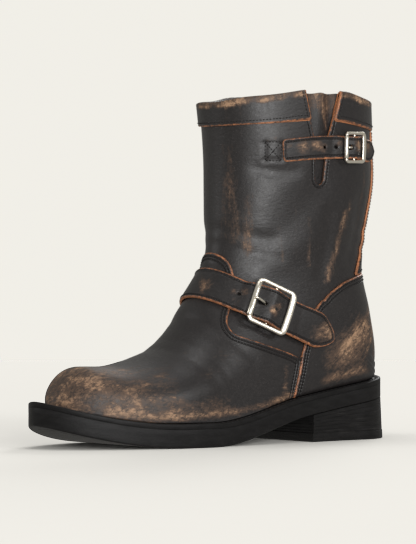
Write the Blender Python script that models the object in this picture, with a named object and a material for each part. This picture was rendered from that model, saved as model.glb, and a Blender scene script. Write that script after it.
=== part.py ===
"""Engineer boot, left foot: a pull-on leather boot with two buckled straps.

Sizes are in millimetres and become metres where a mesh is made. The boot points along -Y, its
lateral side faces +X and it stands on Z = 0. Inside the functions a place is (x, s, z), where s
runs forward from the back of the heel.
"""

import bmesh
import bpy
import numpy as np
from mathutils import Matrix, Vector

MM = 0.001
GAP = 0.3                 # left between pieces that touch on the real boot
SEAT_GAP = 0.6            # between the welt and the upper's lower edge, which are both curved
NUDGE = -0.9              # moves the boot sideways so that its box is centred on X = 0

# Sole, seen from above
SOLE_LENGTH = 287.0
HEEL_HALF = 36.5          # half the width of the sole at the heel
HEEL_ROUND = 35.0         # length of the rounded back of the heel
BALL = {+1: (180.0, 52.5), -1: (199.0, 51.5)}   # side: distance forward, half width
TOE_SHIFT = -1.5          # the toe's tip lies a little to the medial side
TOE_TURN = 240.0          # the foot's middle line bends from here
TOE_POWER = 1.8           # 2 would be an ellipse
HEEL_POWER = 2.4
ARCH = 4.0                # the medial waist is drawn in this much

# Sole, seen from the side
HEEL_LENGTH = 80.5
REAR_RISE = 30.2          # underside of the sole at the back of the heel
BREAST_RISE = 18.5        # and at the front of the heel
FLAT_FROM, FLAT_TO = 175.0, 197.5   # the stretch of the forefoot that lies on the floor
SPRING = 15.9             # rise of the underside at the toe
SPRING_POWER = 2.0
WAIST_SLOPE = 0.85
SOLE_THICK_HEEL, SOLE_THICK_BALL = 14.1, 16.3   # outsole and welt together
WELT = 3.4
WELT_REACH = 16.0         # the welt's strip, from its edge inward
LIFT = 6.0
HEEL_FLARE = 1.4
INSOLE = 3.0
EDGE = 0.8                # rounding of rubber edges

# Leather
WALL = 2.2
OVERLAY = (0.3, 1.8)      # inner and outer face of an overlay, above the upper's own face
COUNTER = (0.3, 2.0)
PANEL = (0.3, 1.7)
CUFF = (0.3, 2.0)
GUSSET = (-3.9, -2.5)
FEATHER = 7.0             # from the sole's edge in to the upper's lower edge
FEATHER_REAR, FEATHER_TOE = 8.5, 15.3

# The last: one row for each section, from the toe, back under the instep, and up to the collar.
# A section lies in a plane that holds the X axis. It starts on the sole, or on the back of the
# boot where bottom_z is given, and ends on the ridge of the foot or the front of the shaft.
# lateral and medial are its greatest half widths, widest is how far up it they lie (0 to 1), low
# and high are the roundness of its lower and upper part, and ridge shifts its top sideways.
COLUMNS = ("bottom_s", "bottom_z", "top_s", "top_z", "lateral", "medial", "widest", "low", "high", "ridge")
SECTIONS = (
    (271.7, None, 271.7, 49.9, 46.0, 45.5, 0.34, 2.00, 2.2, -3.0),
    (250.0, None, 250.0, 52.4, 46.0, 45.5, 0.34, 2.00, 2.2, -4.0),
    (222.0, None, 222.0, 52.6, 46.0, 45.5, 0.34, 2.00, 2.1, -5.0),
    (196.0, None, 198.0, 57.5, 46.0, 45.5, 0.34, 2.00, 2.1, -5.0),
    (172.0, None, 180.0, 65.0, 45.0, 44.0, 0.36, 2.00, 2.0, -4.0),
    (148.0, None, 165.0, 79.0, 42.0, 41.0, 0.38, 2.00, 1.9, -3.0),
    (120.0, None, 155.5, 95.0, 40.0, 39.0, 0.40, 2.00, 1.9, -2.0),
    (85.0, None, 145.0, 111.0, 38.5, 38.0, 0.42, 2.10, 1.9, -1.0),
    (45.0, None, 140.8, 119.0, 38.0, 37.5, 0.45, 2.20, 2.0, 0.0),
    (20.0, None, 140.2, 125.0, 38.0, 37.5, 0.47, 1.95, 2.0, 0.0),
    (8.5, None, 139.5, 130.0, 38.0, 37.5, 0.48, 2.70, 2.0, 0.0),
    (6.4, 62.0, 139.0, 137.0, 38.0, 37.5, 0.49, 2.70, 2.0, 0.0),
    (10.3, 87.0, 138.4, 146.0, 38.5, 38.5, 0.50, 2.50, 2.0, 0.0),
    (16.0, 115.0, 137.7, 158.0, 39.5, 39.5, 0.50, 2.25, 2.1, 0.0),
    (11.7, 146.0, 137.2, 174.0, 41.5, 41.5, 0.50, 2.10, 2.1, 0.0),
    (5.8, 180.0, 137.2, 193.0, 43.5, 43.5, 0.50, 2.10, 2.1, 0.0),
    (6.6, 210.0, 138.3, 214.0, 45.0, 45.0, 0.50, 2.10, 2.1, 0.0),
    (7.4, 235.5, 140.5, 235.0, 46.0, 46.0, 0.50, 2.10, 2.1, 0.0),
)
LAST_FOOT = 10            # the last row whose section starts on the sole
COLLAR = 17.0             # the row at the collar
TOE_REACH = 25.0          # the toe closes over this length
TOE_ROUND = 1.7
LOWER_SHARE = 0.36        # share of a section's points below its widest place
COLLAR_RISE = (3.5, 3.0)  # the collar stands higher at its sides: broad part, and near the slit
RISE_FROM = 14.0

# The mesh of the upper and its overlays: columns round a section, and rows
COLUMN_GRID = np.linspace(-1, 1, 29)
TOE_ROWS = (0.0, 0.03, 0.1, 0.22, 0.38, 0.56, 0.76, 1.0, 1.35)
HEEL_ROWS = (9.6, 9.85, 9.97, 10.0)
ROWS = np.concatenate([TOE_ROWS, np.linspace(1.75, 9.25, 11), HEEL_ROWS, np.linspace(LAST_FOOT, COLLAR, 9)[1:]])

# Outlines of the overlays, seen from the side: (s, z)
VAMP_EDGE = ((150, 132.6), (141.5, 132.6), (138.6, 131), (135.6, 127), (133.8, 122), (133.4, 113),
             (137, 101), (142.5, 91), (145.8, 84), (145.4, 78.5), (141.5, 74.6), (126.6, 69.7),
             (102.3, 62.4), (90.5, 57.8))
COUNTER_TOP = ((-12, 119.5), (12, 118.5), (24, 117), (37, 114.7), (51.3, 110.8), (64.4, 103.5),
               (74.5, 95.3), (79.4, 86.5), (84, 75), (88.6, 62.5))
COUNTER_FRONT = ((88.6, 62.5), (91.7, 47.8), (96.0, 30.0), (98.0, 14.0))
PANEL_EDGE = ((36.6, 116.5), (31, 125), (25.6, 135), (21.8, 149), (18.6, 162.5),
              (15.4, 175), (13.8, 187), (13.8, 202), (14.6, 228))
CUFF_ROW = 16.26          # the cuff's lower edge follows this row

# Slit at the lateral side of the collar: (half opening, z) from its top down
SLIT_AT = 76.2
SLIT = ((15.4, 252.0), (15.0, 241.0), (6.3, 212.4), (4.6, 194.5))
SLIT_FOOT = 179.5
GUSSET_MARGIN = 5.5

# Buckled straps, each measured along its own middle line from the buckle's middle bar
STRAPS = {
    "instep": {"width": 25.0, "thick": 2.0, "under": 2.8, "bar_u": -0.455, "start": None,
               "spacing": 8.0, "tip": 55.0, "tip_length": 17.0, "droop": 1.4, "chape": 34.0,
               "frame": (31.5, 34.0), "rail": 3.4, "rail_thick": 2.8, "roller": 2.1, "bar": 1.0,
               "prong": 0.9, "slot": (-7.0, 6.4), "holes": (-23.0,), "lanes": (-1.0, -0.5, 0.0, 0.5, 1.0)},
    "top": {"width": 15.5, "thick": 1.8, "under": 0.6, "bar_u": -0.712, "start": -56.5,
            "spacing": 6.0, "tip": 32.0, "tip_length": 11.0, "droop": 0.0, "chape": 24.0,
            "frame": (22.0, 22.5), "rail": 2.6, "rail_thick": 2.2, "roller": 1.6, "bar": 0.8,
            "prong": 0.7, "slot": (-4.9, 5.0), "holes": (-24.5, -15.5), "lanes": (-1.0, 0.0, 1.0)},
}
INSTEP_END = 0.80         # where the instep strap is sewn down on the medial side
HOLE = 1.5
CHAPE_THICK = 1.5

# Materials: base colour, roughness, metallic
FINISHES = {
    "leather": ((0.035, 0.027, 0.022, 1.0), 0.42, 0.0),
    "overlay": ((0.055, 0.038, 0.028, 1.0), 0.45, 0.0),
    "lining": ((0.30, 0.20, 0.12, 1.0), 0.80, 0.0),
    "rubber": ((0.012, 0.012, 0.012, 1.0), 0.50, 0.0),
    "metal": ((0.60, 0.56, 0.48, 1.0), 0.30, 1.0),
}


def under(s):
    """Height of the sole's underside."""
    s = np.asarray(s, float)
    heel = REAR_RISE + (BREAST_RISE - REAR_RISE) * s / HEEL_LENGTH
    t = np.clip((s - HEEL_LENGTH) / (FLAT_FROM - HEEL_LENGTH), 0, 1)
    slope = (BREAST_RISE - REAR_RISE) / HEEL_LENGTH * (FLAT_FROM - HEEL_LENGTH) * WAIST_SLOPE
    waist = BREAST_RISE * (2 * t**3 - 3 * t**2 + 1) + slope * (t**3 - 2 * t**2 + t)
    spring = SPRING * np.clip((s - FLAT_TO) / (SOLE_LENGTH - FLAT_TO), 0, 1) ** SPRING_POWER
    return np.where(s < HEEL_LENGTH, heel, waist + spring)


def sole_thickness(s):
    t = np.clip((np.asarray(s, float) - HEEL_LENGTH) / (FLAT_FROM - HEEL_LENGTH), 0, 1)
    return SOLE_THICK_HEEL + (SOLE_THICK_BALL - SOLE_THICK_HEEL) * t


def seat(s):
    """Height of the welt's upper face, on which the upper stands."""
    return under(s) + sole_thickness(s)


def half_width(s, side, inset=0.0, rear=0.0, toe=0.0):
    """Half width of the sole's outline at s, drawn in by inset at its sides and rear, toe at its ends."""
    s = np.asarray(s, float)
    ball_s, ball = BALL[side]
    heel, ball = HEEL_HALF - inset, ball - inset
    back = np.clip((HEEL_ROUND - s) / (HEEL_ROUND - rear), 0, 1)
    rounded = heel * (1 - back**HEEL_POWER) ** (1 / HEEL_POWER)
    t = np.clip((s - HEEL_ROUND) / (ball_s - HEEL_ROUND), 0, 1)
    waist = heel + (ball - heel) * t * t * (3 - 2 * t)
    if side < 0:
        waist = waist - ARCH * np.sin(np.pi * np.clip(t / 0.9, 0, 1)) ** 2
    front = np.clip((s - ball_s) / (SOLE_LENGTH - toe - ball_s), 0, 1)
    tip = TOE_SHIFT * side
    toe_part = tip + (ball - tip) * (1 - front**TOE_POWER) ** (1 / TOE_POWER)
    return np.where(s < HEEL_ROUND, rounded, np.where(s < ball_s, waist, toe_part))


def section_table():
    rows = np.array([[np.nan if value is None else value for value in row] for row in SECTIONS])
    on_sole = np.isnan(rows[:, 1])
    rows[on_sole, 1] = seat(rows[on_sole, 0]) + SEAT_GAP
    return rows


TABLE = section_table()


def between_rows(v):
    """The section table's columns at row v, smoothly between its rows."""
    v = np.asarray(v, float)
    i = np.clip(np.floor(v).astype(int), 0, len(TABLE) - 2)
    t = (v - i)[..., None]
    a, b = TABLE[np.clip(i - 1, 0, None)], TABLE[i]
    c, d = TABLE[i + 1], TABLE[np.clip(i + 2, None, len(TABLE) - 1)]
    return 0.5 * (2 * b + (c - a) * t + (2 * a - 5 * b + 4 * c - d) * t**2 + (3 * b - a - 3 * c + d) * t**3)


def last(u, v, grow=0.0):
    """A point of the upper's outer face, moved out by grow.

    u runs from -1 at the lateral lower edge over 0 at the ridge to 1 at the medial lower edge, and
    v counts the rows of the section table.
    """
    u, v, grow = np.broadcast_arrays(np.asarray(u, float), np.asarray(v, float), np.asarray(grow, float))
    row = dict(zip(COLUMNS, np.moveaxis(between_rows(v), -1, 0)))
    step = 0.02
    ahead = between_rows(np.clip(v + step, 0, COLLAR))
    behind = between_rows(np.clip(v - step, 0, COLLAR))
    bottom_run, top_run = ahead[..., 0:2] - behind[..., 0:2], ahead[..., 2:4] - behind[..., 2:4]
    bottom_run /= np.linalg.norm(bottom_run, axis=-1, keepdims=True)
    top_run /= np.linalg.norm(top_run, axis=-1, keepdims=True)
    foot = v <= LAST_FOOT
    rear, tip = FEATHER_REAR - grow, SOLE_LENGTH - FEATHER_TOE + grow
    along = (row["bottom_s"] - FEATHER_REAR) / (SOLE_LENGTH - FEATHER_TOE - FEATHER_REAR)
    on_feather = rear + np.clip(along, 0, 1) * (tip - rear)
    rise = np.clip(v - LAST_FOOT, 0, 1)
    bottom_s = np.where(foot, on_feather, row["bottom_s"] - grow * bottom_run[..., 1])
    bottom_z = np.where(foot, seat(on_feather) + SEAT_GAP, row["bottom_z"] + grow * bottom_run[..., 0] * rise)
    near_toe = np.where(foot, 1 - np.clip((tip - bottom_s) / TOE_REACH, 0, 1), 0.0)
    closing = (1 - near_toe**TOE_ROUND) ** (1 / TOE_ROUND)
    top_s = row["top_s"] + (bottom_s - row["bottom_s"]) * near_toe + grow * top_run[..., 1] * closing
    height = np.where(foot, row["top_z"] - seat(row["bottom_s"]) - SEAT_GAP, 0) - grow * top_run[..., 0]
    top_z = np.where(foot, bottom_z + height * closing, row["top_z"] - grow * top_run[..., 0])

    lateral = u <= 0
    middle = TOE_SHIFT * np.clip((bottom_s - TOE_TURN) / (tip - TOE_TURN), 0, 1) ** 2
    feather, widest = np.zeros_like(u), np.zeros_like(u)
    for side, mine in ((+1, lateral), (-1, ~lateral)):
        inset, rear_in, toe_in = FEATHER - grow, FEATHER_REAR - grow, FEATHER_TOE - grow
        edge = half_width(bottom_s, side, inset, rear_in, toe_in) - side * middle
        ball_s, ball = BALL[side]
        shrink = np.where(foot & (bottom_s > ball_s), edge / (ball - inset), 1.0)
        feather = np.where(mine & foot, edge, feather)
        width = row["lateral" if side > 0 else "medial"] + grow
        widest = np.where(mine, width * np.clip(shrink, 0, 1), widest)
    feather = np.maximum(feather, 0)

    share = 1 - np.abs(u)
    low_turn = np.clip(share / LOWER_SHARE, 0, 1) * np.pi / 2
    high_turn = np.clip((share - LOWER_SHARE) / (1 - LOWER_SHARE), 0, 1) * np.pi / 2
    low, high, level = row["low"], row["high"], row["widest"]
    low_t = level * (1 - np.abs(np.cos(low_turn)) ** (2 / low))
    low_w = feather + (widest - feather) * np.sin(low_turn) ** (2 / low)
    high_t = level + (1 - level) * np.sin(high_turn) ** (2 / high)
    high_w = widest * np.abs(np.cos(high_turn)) ** (2 / high)
    t = np.where(share < LOWER_SHARE, low_t, high_t)
    w = np.where(share < LOWER_SHARE, low_w, high_w)
    s = bottom_s + (top_s - bottom_s) * t
    z = bottom_z + (top_z - bottom_z) * t
    x = np.where(lateral, w, -w) + row["ridge"] * t**2 * closing + np.where(foot, middle, 0.0)
    k = np.clip((v - RISE_FROM) / (COLLAR - RISE_FROM), 0, 1)
    spread = np.clip(w / SECTIONS[-1][COLUMNS.index("lateral")], 0, 1)
    z = z + k * k * (3 - 2 * k) * (COLLAR_RISE[0] * spread**2 + COLLAR_RISE[1] * spread**12)
    return np.stack([x, s, z], -1)


def place(points):
    """(x, s, z) in millimetres to the boot's frame in metres."""
    points = np.asarray(points, float)
    return np.stack([points[..., 0] + NUDGE, SOLE_LENGTH / 2 - points[..., 1], points[..., 2]], -1) * MM


def smooth_line(points, steps):
    """A smooth curve through the points of an outline."""
    points = np.asarray(points, float)
    padded = np.vstack([2 * points[0] - points[1], points, 2 * points[-1] - points[-2]])
    curve = []
    for i in range(1, len(padded) - 2):
        a, b, c, d = padded[i - 1:i + 3]
        for t in np.arange(steps) / steps:
            curve.append(0.5 * (2 * b + (c - a) * t + (2 * a - 5 * b + 4 * c - d) * t**2
                                + (3 * b - a - 3 * c + d) * t**3))
    return [tuple(p) for p in curve] + [tuple(points[-1])]


def clear_scene():
    for thing in list(bpy.data.objects):
        bpy.data.objects.remove(thing, do_unlink=True)


def collection(name):
    group = bpy.data.collections.new(name)
    bpy.context.scene.collection.children.link(group)
    return group


def finish_of(name, material_name):
    """Each piece's own material."""
    colour, roughness, metallic = FINISHES[material_name]
    material = bpy.data.materials.new(name + "_" + material_name)
    material.use_nodes = True
    shader = material.node_tree.nodes["Principled BSDF"]
    shader.inputs["Base Color"].default_value = colour
    shader.inputs["Roughness"].default_value = roughness
    shader.inputs["Metallic"].default_value = metallic
    return material


def add_piece(name, bm, material_name, group, smooth=True):
    """Turn a bmesh into a named piece with its own material."""
    bmesh.ops.remove_doubles(bm, verts=bm.verts, dist=1e-7)
    bmesh.ops.recalc_face_normals(bm, faces=bm.faces)
    mesh = bpy.data.meshes.new(name)
    bm.to_mesh(mesh)
    bm.free()
    if smooth:
        mesh.shade_smooth()
        mesh.set_sharp_from_angle(angle=np.radians(35))
    piece = bpy.data.objects.new(name, mesh)
    group.objects.link(piece)
    if material_name:
        mesh.materials.append(finish_of(name, material_name))
    return piece


def add_grid(bm, points, close_rows=False, close_columns=False):
    """Faces between the points of a grid, as a loft between its rows."""
    rows, columns = points.shape[:2]
    verts = [[bm.verts.new(p) for p in row] for row in place(points)]
    for i in range(rows if close_rows else rows - 1):
        for j in range(columns if close_columns else columns - 1):
            a, b = verts[i][j], verts[i][(j + 1) % columns]
            c, d = verts[(i + 1) % rows][(j + 1) % columns], verts[(i + 1) % rows][j]
            corners = []
            for corner in (a, b, c, d):
                if not any((corner.co - other.co).length < 1e-7 for other in corners):
                    corners.append(corner)
            if len(corners) > 2:
                bm.faces.new(corners)
    return verts


def add_cap(bm, verts):
    """Close a ring whose first half mirrors its second half with strips across it."""
    count = len(verts) // 2
    for i in range(count):
        left_a, left_b = verts[i], verts[i + 1]
        right_a, right_b = verts[(len(verts) - i) % len(verts)], verts[len(verts) - i - 1]
        corners = []
        for corner in (left_a, left_b, right_b, right_a):
            if not any((corner.co - other.co).length < 1e-7 for other in corners):
                corners.append(corner)
        if len(corners) > 2:
            bm.faces.new(corners)


def sole_ring(inset, height, front=SOLE_LENGTH, steps=30, rear=None, toe=None):
    """A ring round the sole's outline: lateral side from the rear forward, then the medial side back."""
    rear = inset if rear is None else rear
    toe = inset if toe is None else toe
    end = min(front, SOLE_LENGTH - toe)
    turn = np.pi if front >= SOLE_LENGTH else np.pi / 2
    share = (1 - np.cos(turn * np.arange(steps + 1) / steps)) / (1 - np.cos(turn))
    s = rear + (end - rear) * share
    for key in (FLAT_FROM, FLAT_TO):
        if key < end:
            s[np.argmin(np.abs(SOLE_LENGTH * share - key))] = key
    z = height(s) if callable(height) else np.full_like(s, height)
    sides = [np.stack([side * half_width(s, side, inset, rear, toe), s, z], -1) for side in (+1, -1)]
    sides[0][0, 0] = sides[1][0, 0] = 0.0
    if front >= SOLE_LENGTH:
        sides[1][-1] = sides[0][-1]
        return np.vstack([sides[0], sides[1][-2:0:-1]])
    return np.vstack([sides[0], sides[1][:0:-1]])


def stacked(name, rings, material_name, group, hollow=False):
    """A sole piece: rings joined in order, with its first and last closed over, or joined if hollow."""
    bm = bmesh.new()
    verts = add_grid(bm, np.array(rings), close_rows=hollow, close_columns=True)
    if not hollow:
        even = len(verts[0]) % 2 == 0
        for ring in (verts[0], verts[-1]):
            if even:
                add_cap(bm, ring)
            else:
                add_open_cap(bm, ring)
    return add_piece(name, bm, material_name, group)


def add_open_cap(bm, verts):
    """Close a heel ring, which has a straight front, with strips across it."""
    half = len(verts) // 2
    for i in range(half):
        corners = [verts[i], verts[i + 1], verts[len(verts) - i - 1]]
        if i:
            corners.append(verts[len(verts) - i])
        bm.faces.new(corners)


def make_sole(group):
    def level(part):
        return lambda s: under(s) + part(s)

    def rim(s):
        return sole_thickness(s) - WELT - GAP

    rings = [sole_ring(EDGE, under), sole_ring(0, level(lambda s: EDGE)), sole_ring(0, level(rim)),
             sole_ring(WELT_REACH + GAP, level(rim)),
             sole_ring(WELT_REACH + GAP, level(lambda s: rim(s) + WELT))]
    stacked("outsole", rings, "rubber", group)

    rings = [sole_ring(0, level(lambda s: rim(s) + GAP)), sole_ring(0, lambda s: seat(s) - EDGE),
             sole_ring(EDGE, seat), sole_ring(WELT_REACH, seat),
             sole_ring(WELT_REACH, level(lambda s: rim(s) + GAP))]
    stacked("welt", rings, "rubber", group, hollow=True)

    clear = WALL + 5 * GAP
    inside = {"inset": FEATHER + clear, "rear": FEATHER_REAR + clear, "toe": FEATHER_TOE + clear + 0.3}
    rings = [sole_ring(height=lambda s: seat(s) + GAP, **inside),
             sole_ring(height=lambda s: seat(s) + GAP + INSOLE, **inside)]
    stacked("insole", rings, "lining", group)

    steps = 12
    rings = [sole_ring(-0.6, LIFT + GAP, HEEL_LENGTH, steps),
             sole_ring(0.6, lambda s: under(s) - GAP, HEEL_LENGTH - 1.0, steps)]
    stacked("heel", rings, "rubber", group)
    rings = [sole_ring(EDGE - HEEL_FLARE, 0.0, HEEL_LENGTH, steps),
             sole_ring(-HEEL_FLARE, EDGE, HEEL_LENGTH + EDGE, steps),
             sole_ring(-HEEL_FLARE, LIFT, HEEL_LENGTH + EDGE, steps)]
    stacked("top_lift", rings, "rubber", group)


def add_wall(bm, outer, inner):
    """A wall between two sets of grids, closed along every open edge. Points that meet are shared."""
    pairs, faces, edges = {}, [], set()
    for outer_grid, inner_grid in zip(outer, inner):
        keys = [[tuple(np.round(point, 4)) for point in row] for row in outer_grid]
        for key_row, outer_row, inner_row in zip(keys, place(outer_grid), place(inner_grid)):
            for key, outer_point, inner_point in zip(key_row, outer_row, inner_row):
                if key not in pairs:
                    pairs[key] = (bm.verts.new(outer_point), bm.verts.new(inner_point))
        for i in range(len(keys) - 1):
            for j in range(len(keys[0]) - 1):
                a, b, c, d = keys[i][j], keys[i][j + 1], keys[i + 1][j + 1], keys[i + 1][j]
                halves = ((a, b, c), (a, c, d)) if outer_grid[i][j][0] > 0 else ((a, b, d), (b, c, d))
                faces += [list(dict.fromkeys(half)) for half in halves]
    for corners in faces:
        if len(corners) < 3:
            continue
        bm.faces.new([pairs[key][0] for key in corners])
        bm.faces.new([pairs[key][1] for key in reversed(corners)])
        edges.update(zip(corners, corners[1:] + corners[:1]))
    for a, b in edges:
        if (b, a) not in edges:
            bm.faces.new((pairs[b][0], pairs[a][0], pairs[a][1], pairs[b][1]))


def shell(name, column_runs, row_run, layer, material_name, group):
    """A wall between two forms of the last. Pieces share columns and rows, so that they nest."""
    rows = [row for row in ROWS if row_run[0] < row < row_run[1]]
    rows = [row_run[0]] + rows + [row_run[1]]
    columns = [COLUMN_GRID[(COLUMN_GRID > low - 0.01) & (COLUMN_GRID < high + 0.01)] for low, high in column_runs]
    grids = [np.meshgrid(run, rows) for run in columns]
    bm = bmesh.new()
    add_wall(bm, [last(u, v, layer[1]) for u, v in grids], [last(u, v, layer[0]) for u, v in grids])
    return add_piece(name, bm, material_name, group)


def prism(name, outline, reach, group):
    """A cutter: an outline seen from the side, drawn out along X."""
    bm = bmesh.new()
    low, high = reach
    corners = [bm.verts.new(p) for p in place([(low, s, z) for s, z in outline])]
    face = bm.faces.new(corners)
    drawn = bmesh.ops.extrude_face_region(bm, geom=[face])["geom"]
    moved = [item for item in drawn if isinstance(item, bmesh.types.BMVert)]
    bmesh.ops.translate(bm, verts=moved, vec=((high - low) * MM, 0, 0))
    cutter = add_piece(name, bm, None, group, smooth=False)
    cutter.hide_render = True
    cutter.display_type = "WIRE"
    return cutter


def cut(piece, cutter, operation):
    modifier = piece.modifiers.new(cutter.name, "BOOLEAN")
    modifier.operation = operation
    modifier.object = cutter


def slit_outline(margin=0.0):
    """The slit's outline, a V with a rounded foot."""
    left = [(SLIT_AT + half + margin, z) for half, z in SLIT]
    right = [(SLIT_AT - half - margin, z) for half, z in reversed(SLIT)]
    radius = SLIT[-1][0] - 0.6 + margin
    centre = SLIT_FOOT + radius - margin
    foot = [(SLIT_AT + radius * np.cos(turn), centre - radius * np.sin(turn))
            for turn in np.linspace(0.1, np.pi - 0.1, 7)]
    return left + foot + right


def make_upper(group, cutters):
    upper = shell("upper", [(-1, 1)], (0.0, COLLAR), (-WALL, 0.0), "leather", group)
    slit = prism("slit_cutter", slit_outline(), (12.0, 80.0), cutters)
    cut(upper, slit, "DIFFERENCE")

    vamp = shell("vamp", [(-1, 1)], (0.0, 11.3), OVERLAY, "overlay", group)
    front = [(s + GAP, z) for s, z in COUNTER_FRONT]
    outline = smooth_line(VAMP_EDGE, 2) + front + [(300, 14), (300, VAMP_EDGE[0][1])]
    cut(vamp, prism("vamp_cutter", outline, (-70.0, 70.0), cutters), "INTERSECT")

    counter = shell("counter", [(-1, -0.43), (0.43, 1)], (5.5, 13.5), COUNTER, "overlay", group)
    outline = smooth_line(COUNTER_TOP, 2) + list(COUNTER_FRONT[1:]) + [(-12, 14)]
    cut(counter, prism("counter_cutter", outline, (-70.0, 70.0), cutters), "INTERSECT")

    panel_runs = [(-1, -0.71), (0.71, 1)]
    panel = shell("back_panel", panel_runs, (11.75, CUFF_ROW - 0.02), PANEL, "overlay", group)
    top = [(s, z + GAP) for s, z in smooth_line(COUNTER_TOP, 2) if s < PANEL_EDGE[0][0] - 1]
    outline = top + list(PANEL_EDGE) + [(-12, 228)]
    cut(panel, prism("panel_cutter", outline, (-70.0, 70.0), cutters), "INTERSECT")

    inner, outer = CUFF
    over = COLLAR
    profile = [(inner, CUFF_ROW, 0), (outer, CUFF_ROW, 0), (outer, (CUFF_ROW + over) / 2, 0),
               (outer, over, 0), (outer - 0.9, over, 1.2), (-WALL + 0.9, over, 1.2), (-WALL, over, GAP),
               (inner, over, GAP)]
    u = COLUMN_GRID[:-1]
    grid = np.stack([last(u, row, grow) + np.array([0, 0, rise]) for grow, row, rise in profile])
    bm = bmesh.new()
    add_grid(bm, grid, close_rows=True, close_columns=True)
    cuff = add_piece("cuff", bm, "leather", group)
    cut(cuff, slit, "DIFFERENCE")

    gusset = shell("gusset", [(-0.79, -0.42)], (14.0, COLLAR - 0.03), GUSSET, "overlay", group)
    cut(gusset, prism("gusset_cutter", slit_outline(GUSSET_MARGIN), (12.0, 80.0), cutters), "INTERSECT")


def instep_row(u):
    """The instep strap's middle line crosses column u at this row."""
    return 6.9 + 3.9 * u**2


def top_row(u):
    return 15.26 + 0.53 * np.abs(u)


def strap_line(row_at, bar_u):
    """Columns and distances along a strap's middle line, with 0 at its buckle's middle bar."""
    u = np.linspace(0.85, -0.95, 721)
    points = last(u, row_at(u), 0.0)
    steps = np.linalg.norm(np.diff(points, axis=0), axis=1)
    length = np.concatenate([[0], np.cumsum(steps)])
    return u, length - np.interp(-bar_u, -u, length)


def walk(u, v, across, distance, steps=4):
    """Move over the last's face by a distance across a strap, and return the new column and row."""
    h = 0.004
    for _ in range(steps):
        du = (last(u + h, v) - last(u - h, v)) / (2 * h)
        dv = (last(u, v + h) - last(u, v - h)) / (2 * h)
        normal = np.cross(du, dv)
        normal /= np.linalg.norm(normal, axis=-1, keepdims=True)
        flat = across - (across * normal).sum(-1, keepdims=True) * normal
        flat /= np.linalg.norm(flat, axis=-1, keepdims=True)
        want = flat * (distance / steps)[..., None]
        uu, vv, uv = (du * du).sum(-1), (dv * dv).sum(-1), (du * dv).sum(-1)
        pu, pv = (want * du).sum(-1), (want * dv).sum(-1)
        det = uu * vv - uv * uv
        u = u + (pu * vv - pv * uv) / det
        v = v + (pv * uu - pu * uv) / det
    return u, v


def ribbon(name, row_at, bar_u, stations, plane, material_name, group, lanes):
    """A strap. Stations hold (distance, half width, height of its lower face, thickness, flatness).

    It follows the last's face, and where its flatness is 1 it lies parallel to its buckle's plane.
    """
    line_u, line_t = strap_line(row_at, bar_u)
    t, half, low, thick, flat = np.array(stations, float).T
    u = np.interp(t, line_t, line_u)
    v = row_at(u)
    h = 0.004
    along = last(u - h, row_at(u - h)) - last(u + h, row_at(u + h))
    normal = np.cross(last(u + h, v) - last(u - h, v), last(u, v + h) - last(u, v - h))
    across = np.cross(normal, along)
    matrix, plane_height = plane
    matrix = np.array(matrix)
    grid = []
    for lift in (low, low + thick):
        for lane in lanes if lift is low else reversed(lanes):
            lane_u, lane_v = walk(u, v, across, lane * half)
            on_last = place(last(lane_u, lane_v, lift))
            axes, origin = matrix[:3, :3] * MM, matrix[:3, 3]
            on_plane = np.stack([t, -lane * half, lift - plane_height], -1) @ axes.T + origin
            grid.append(on_last + (on_plane - on_last) * flat[:, None])
    bm = bmesh.new()
    rings = [[bm.verts.new(point) for point in ring] for ring in np.swapaxes(grid, 0, 1)]
    count = len(rings[0])
    for ring, after in zip(rings, rings[1:]):
        for j in range(count):
            bm.faces.new((ring[j], ring[(j + 1) % count], after[(j + 1) % count], after[j]))
    for ring in (rings[0], rings[-1]):
        for j in range(len(lanes) - 1):
            bm.faces.new((ring[j], ring[j + 1], ring[count - 2 - j], ring[count - 1 - j]))
    return add_piece(name, bm, material_name, group)


def strap_frame(row_at, bar_u, distance, height):
    """A matrix on a strap's middle line: X along it to the tip, Y across it, Z out of the boot."""
    line_u, line_t = strap_line(row_at, bar_u)
    u = np.interp(distance, line_t, line_u)
    h = 0.02
    origin = place(last(u, row_at(u), height))
    along = Vector(place(last(u - h, row_at(u - h), height)) - place(last(u + h, row_at(u + h), height)))
    du = Vector(place(last(u + h, row_at(u))) - place(last(u - h, row_at(u))))
    dv = Vector(place(last(u, row_at(u) + h)) - place(last(u, row_at(u) - h)))
    out = du.cross(dv).normalized()
    if out.x < 0:
        out = -out
    along = (along - out * along.dot(out)).normalized()
    across = out.cross(along)
    matrix = Matrix((along, across, out)).transposed().to_4x4()
    matrix.translation = Vector(origin)
    return matrix


def curve_mesh(name, splines, matrix, material_name, group, extrude=0.0, bevel=0.0, flat=False, rounds=2):
    """A curve object turned into a closed mesh piece. Splines hold points and whether they close."""
    curve = bpy.data.curves.new(name, "CURVE")
    curve.dimensions = "2D" if flat else "3D"
    curve.fill_mode = "BOTH" if flat else "FULL"
    curve.extrude = extrude * MM
    curve.bevel_depth = bevel * MM
    curve.bevel_resolution = rounds
    curve.use_fill_caps = True
    for points, closed in splines:
        spline = curve.splines.new("POLY")
        spline.points.add(len(points) - 1)
        for target, point in zip(spline.points, points):
            target.co = (point[0] * MM, point[1] * MM, (point[2] if len(point) > 2 else 0.0) * MM, 1.0)
        spline.use_cyclic_u = closed
    guide = bpy.data.objects.new(name + "_curve", curve)
    group.objects.link(guide)
    bpy.context.view_layer.update()
    mesh = bpy.data.meshes.new_from_object(guide.evaluated_get(bpy.context.evaluated_depsgraph_get()))
    bpy.data.objects.remove(guide, do_unlink=True)
    bm = bmesh.new()
    bm.from_mesh(mesh)
    bpy.data.meshes.remove(mesh)
    bmesh.ops.remove_doubles(bm, verts=bm.verts, dist=1e-6)
    piece = add_piece(name, bm, material_name, group)
    piece.matrix_world = matrix
    return piece


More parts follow.
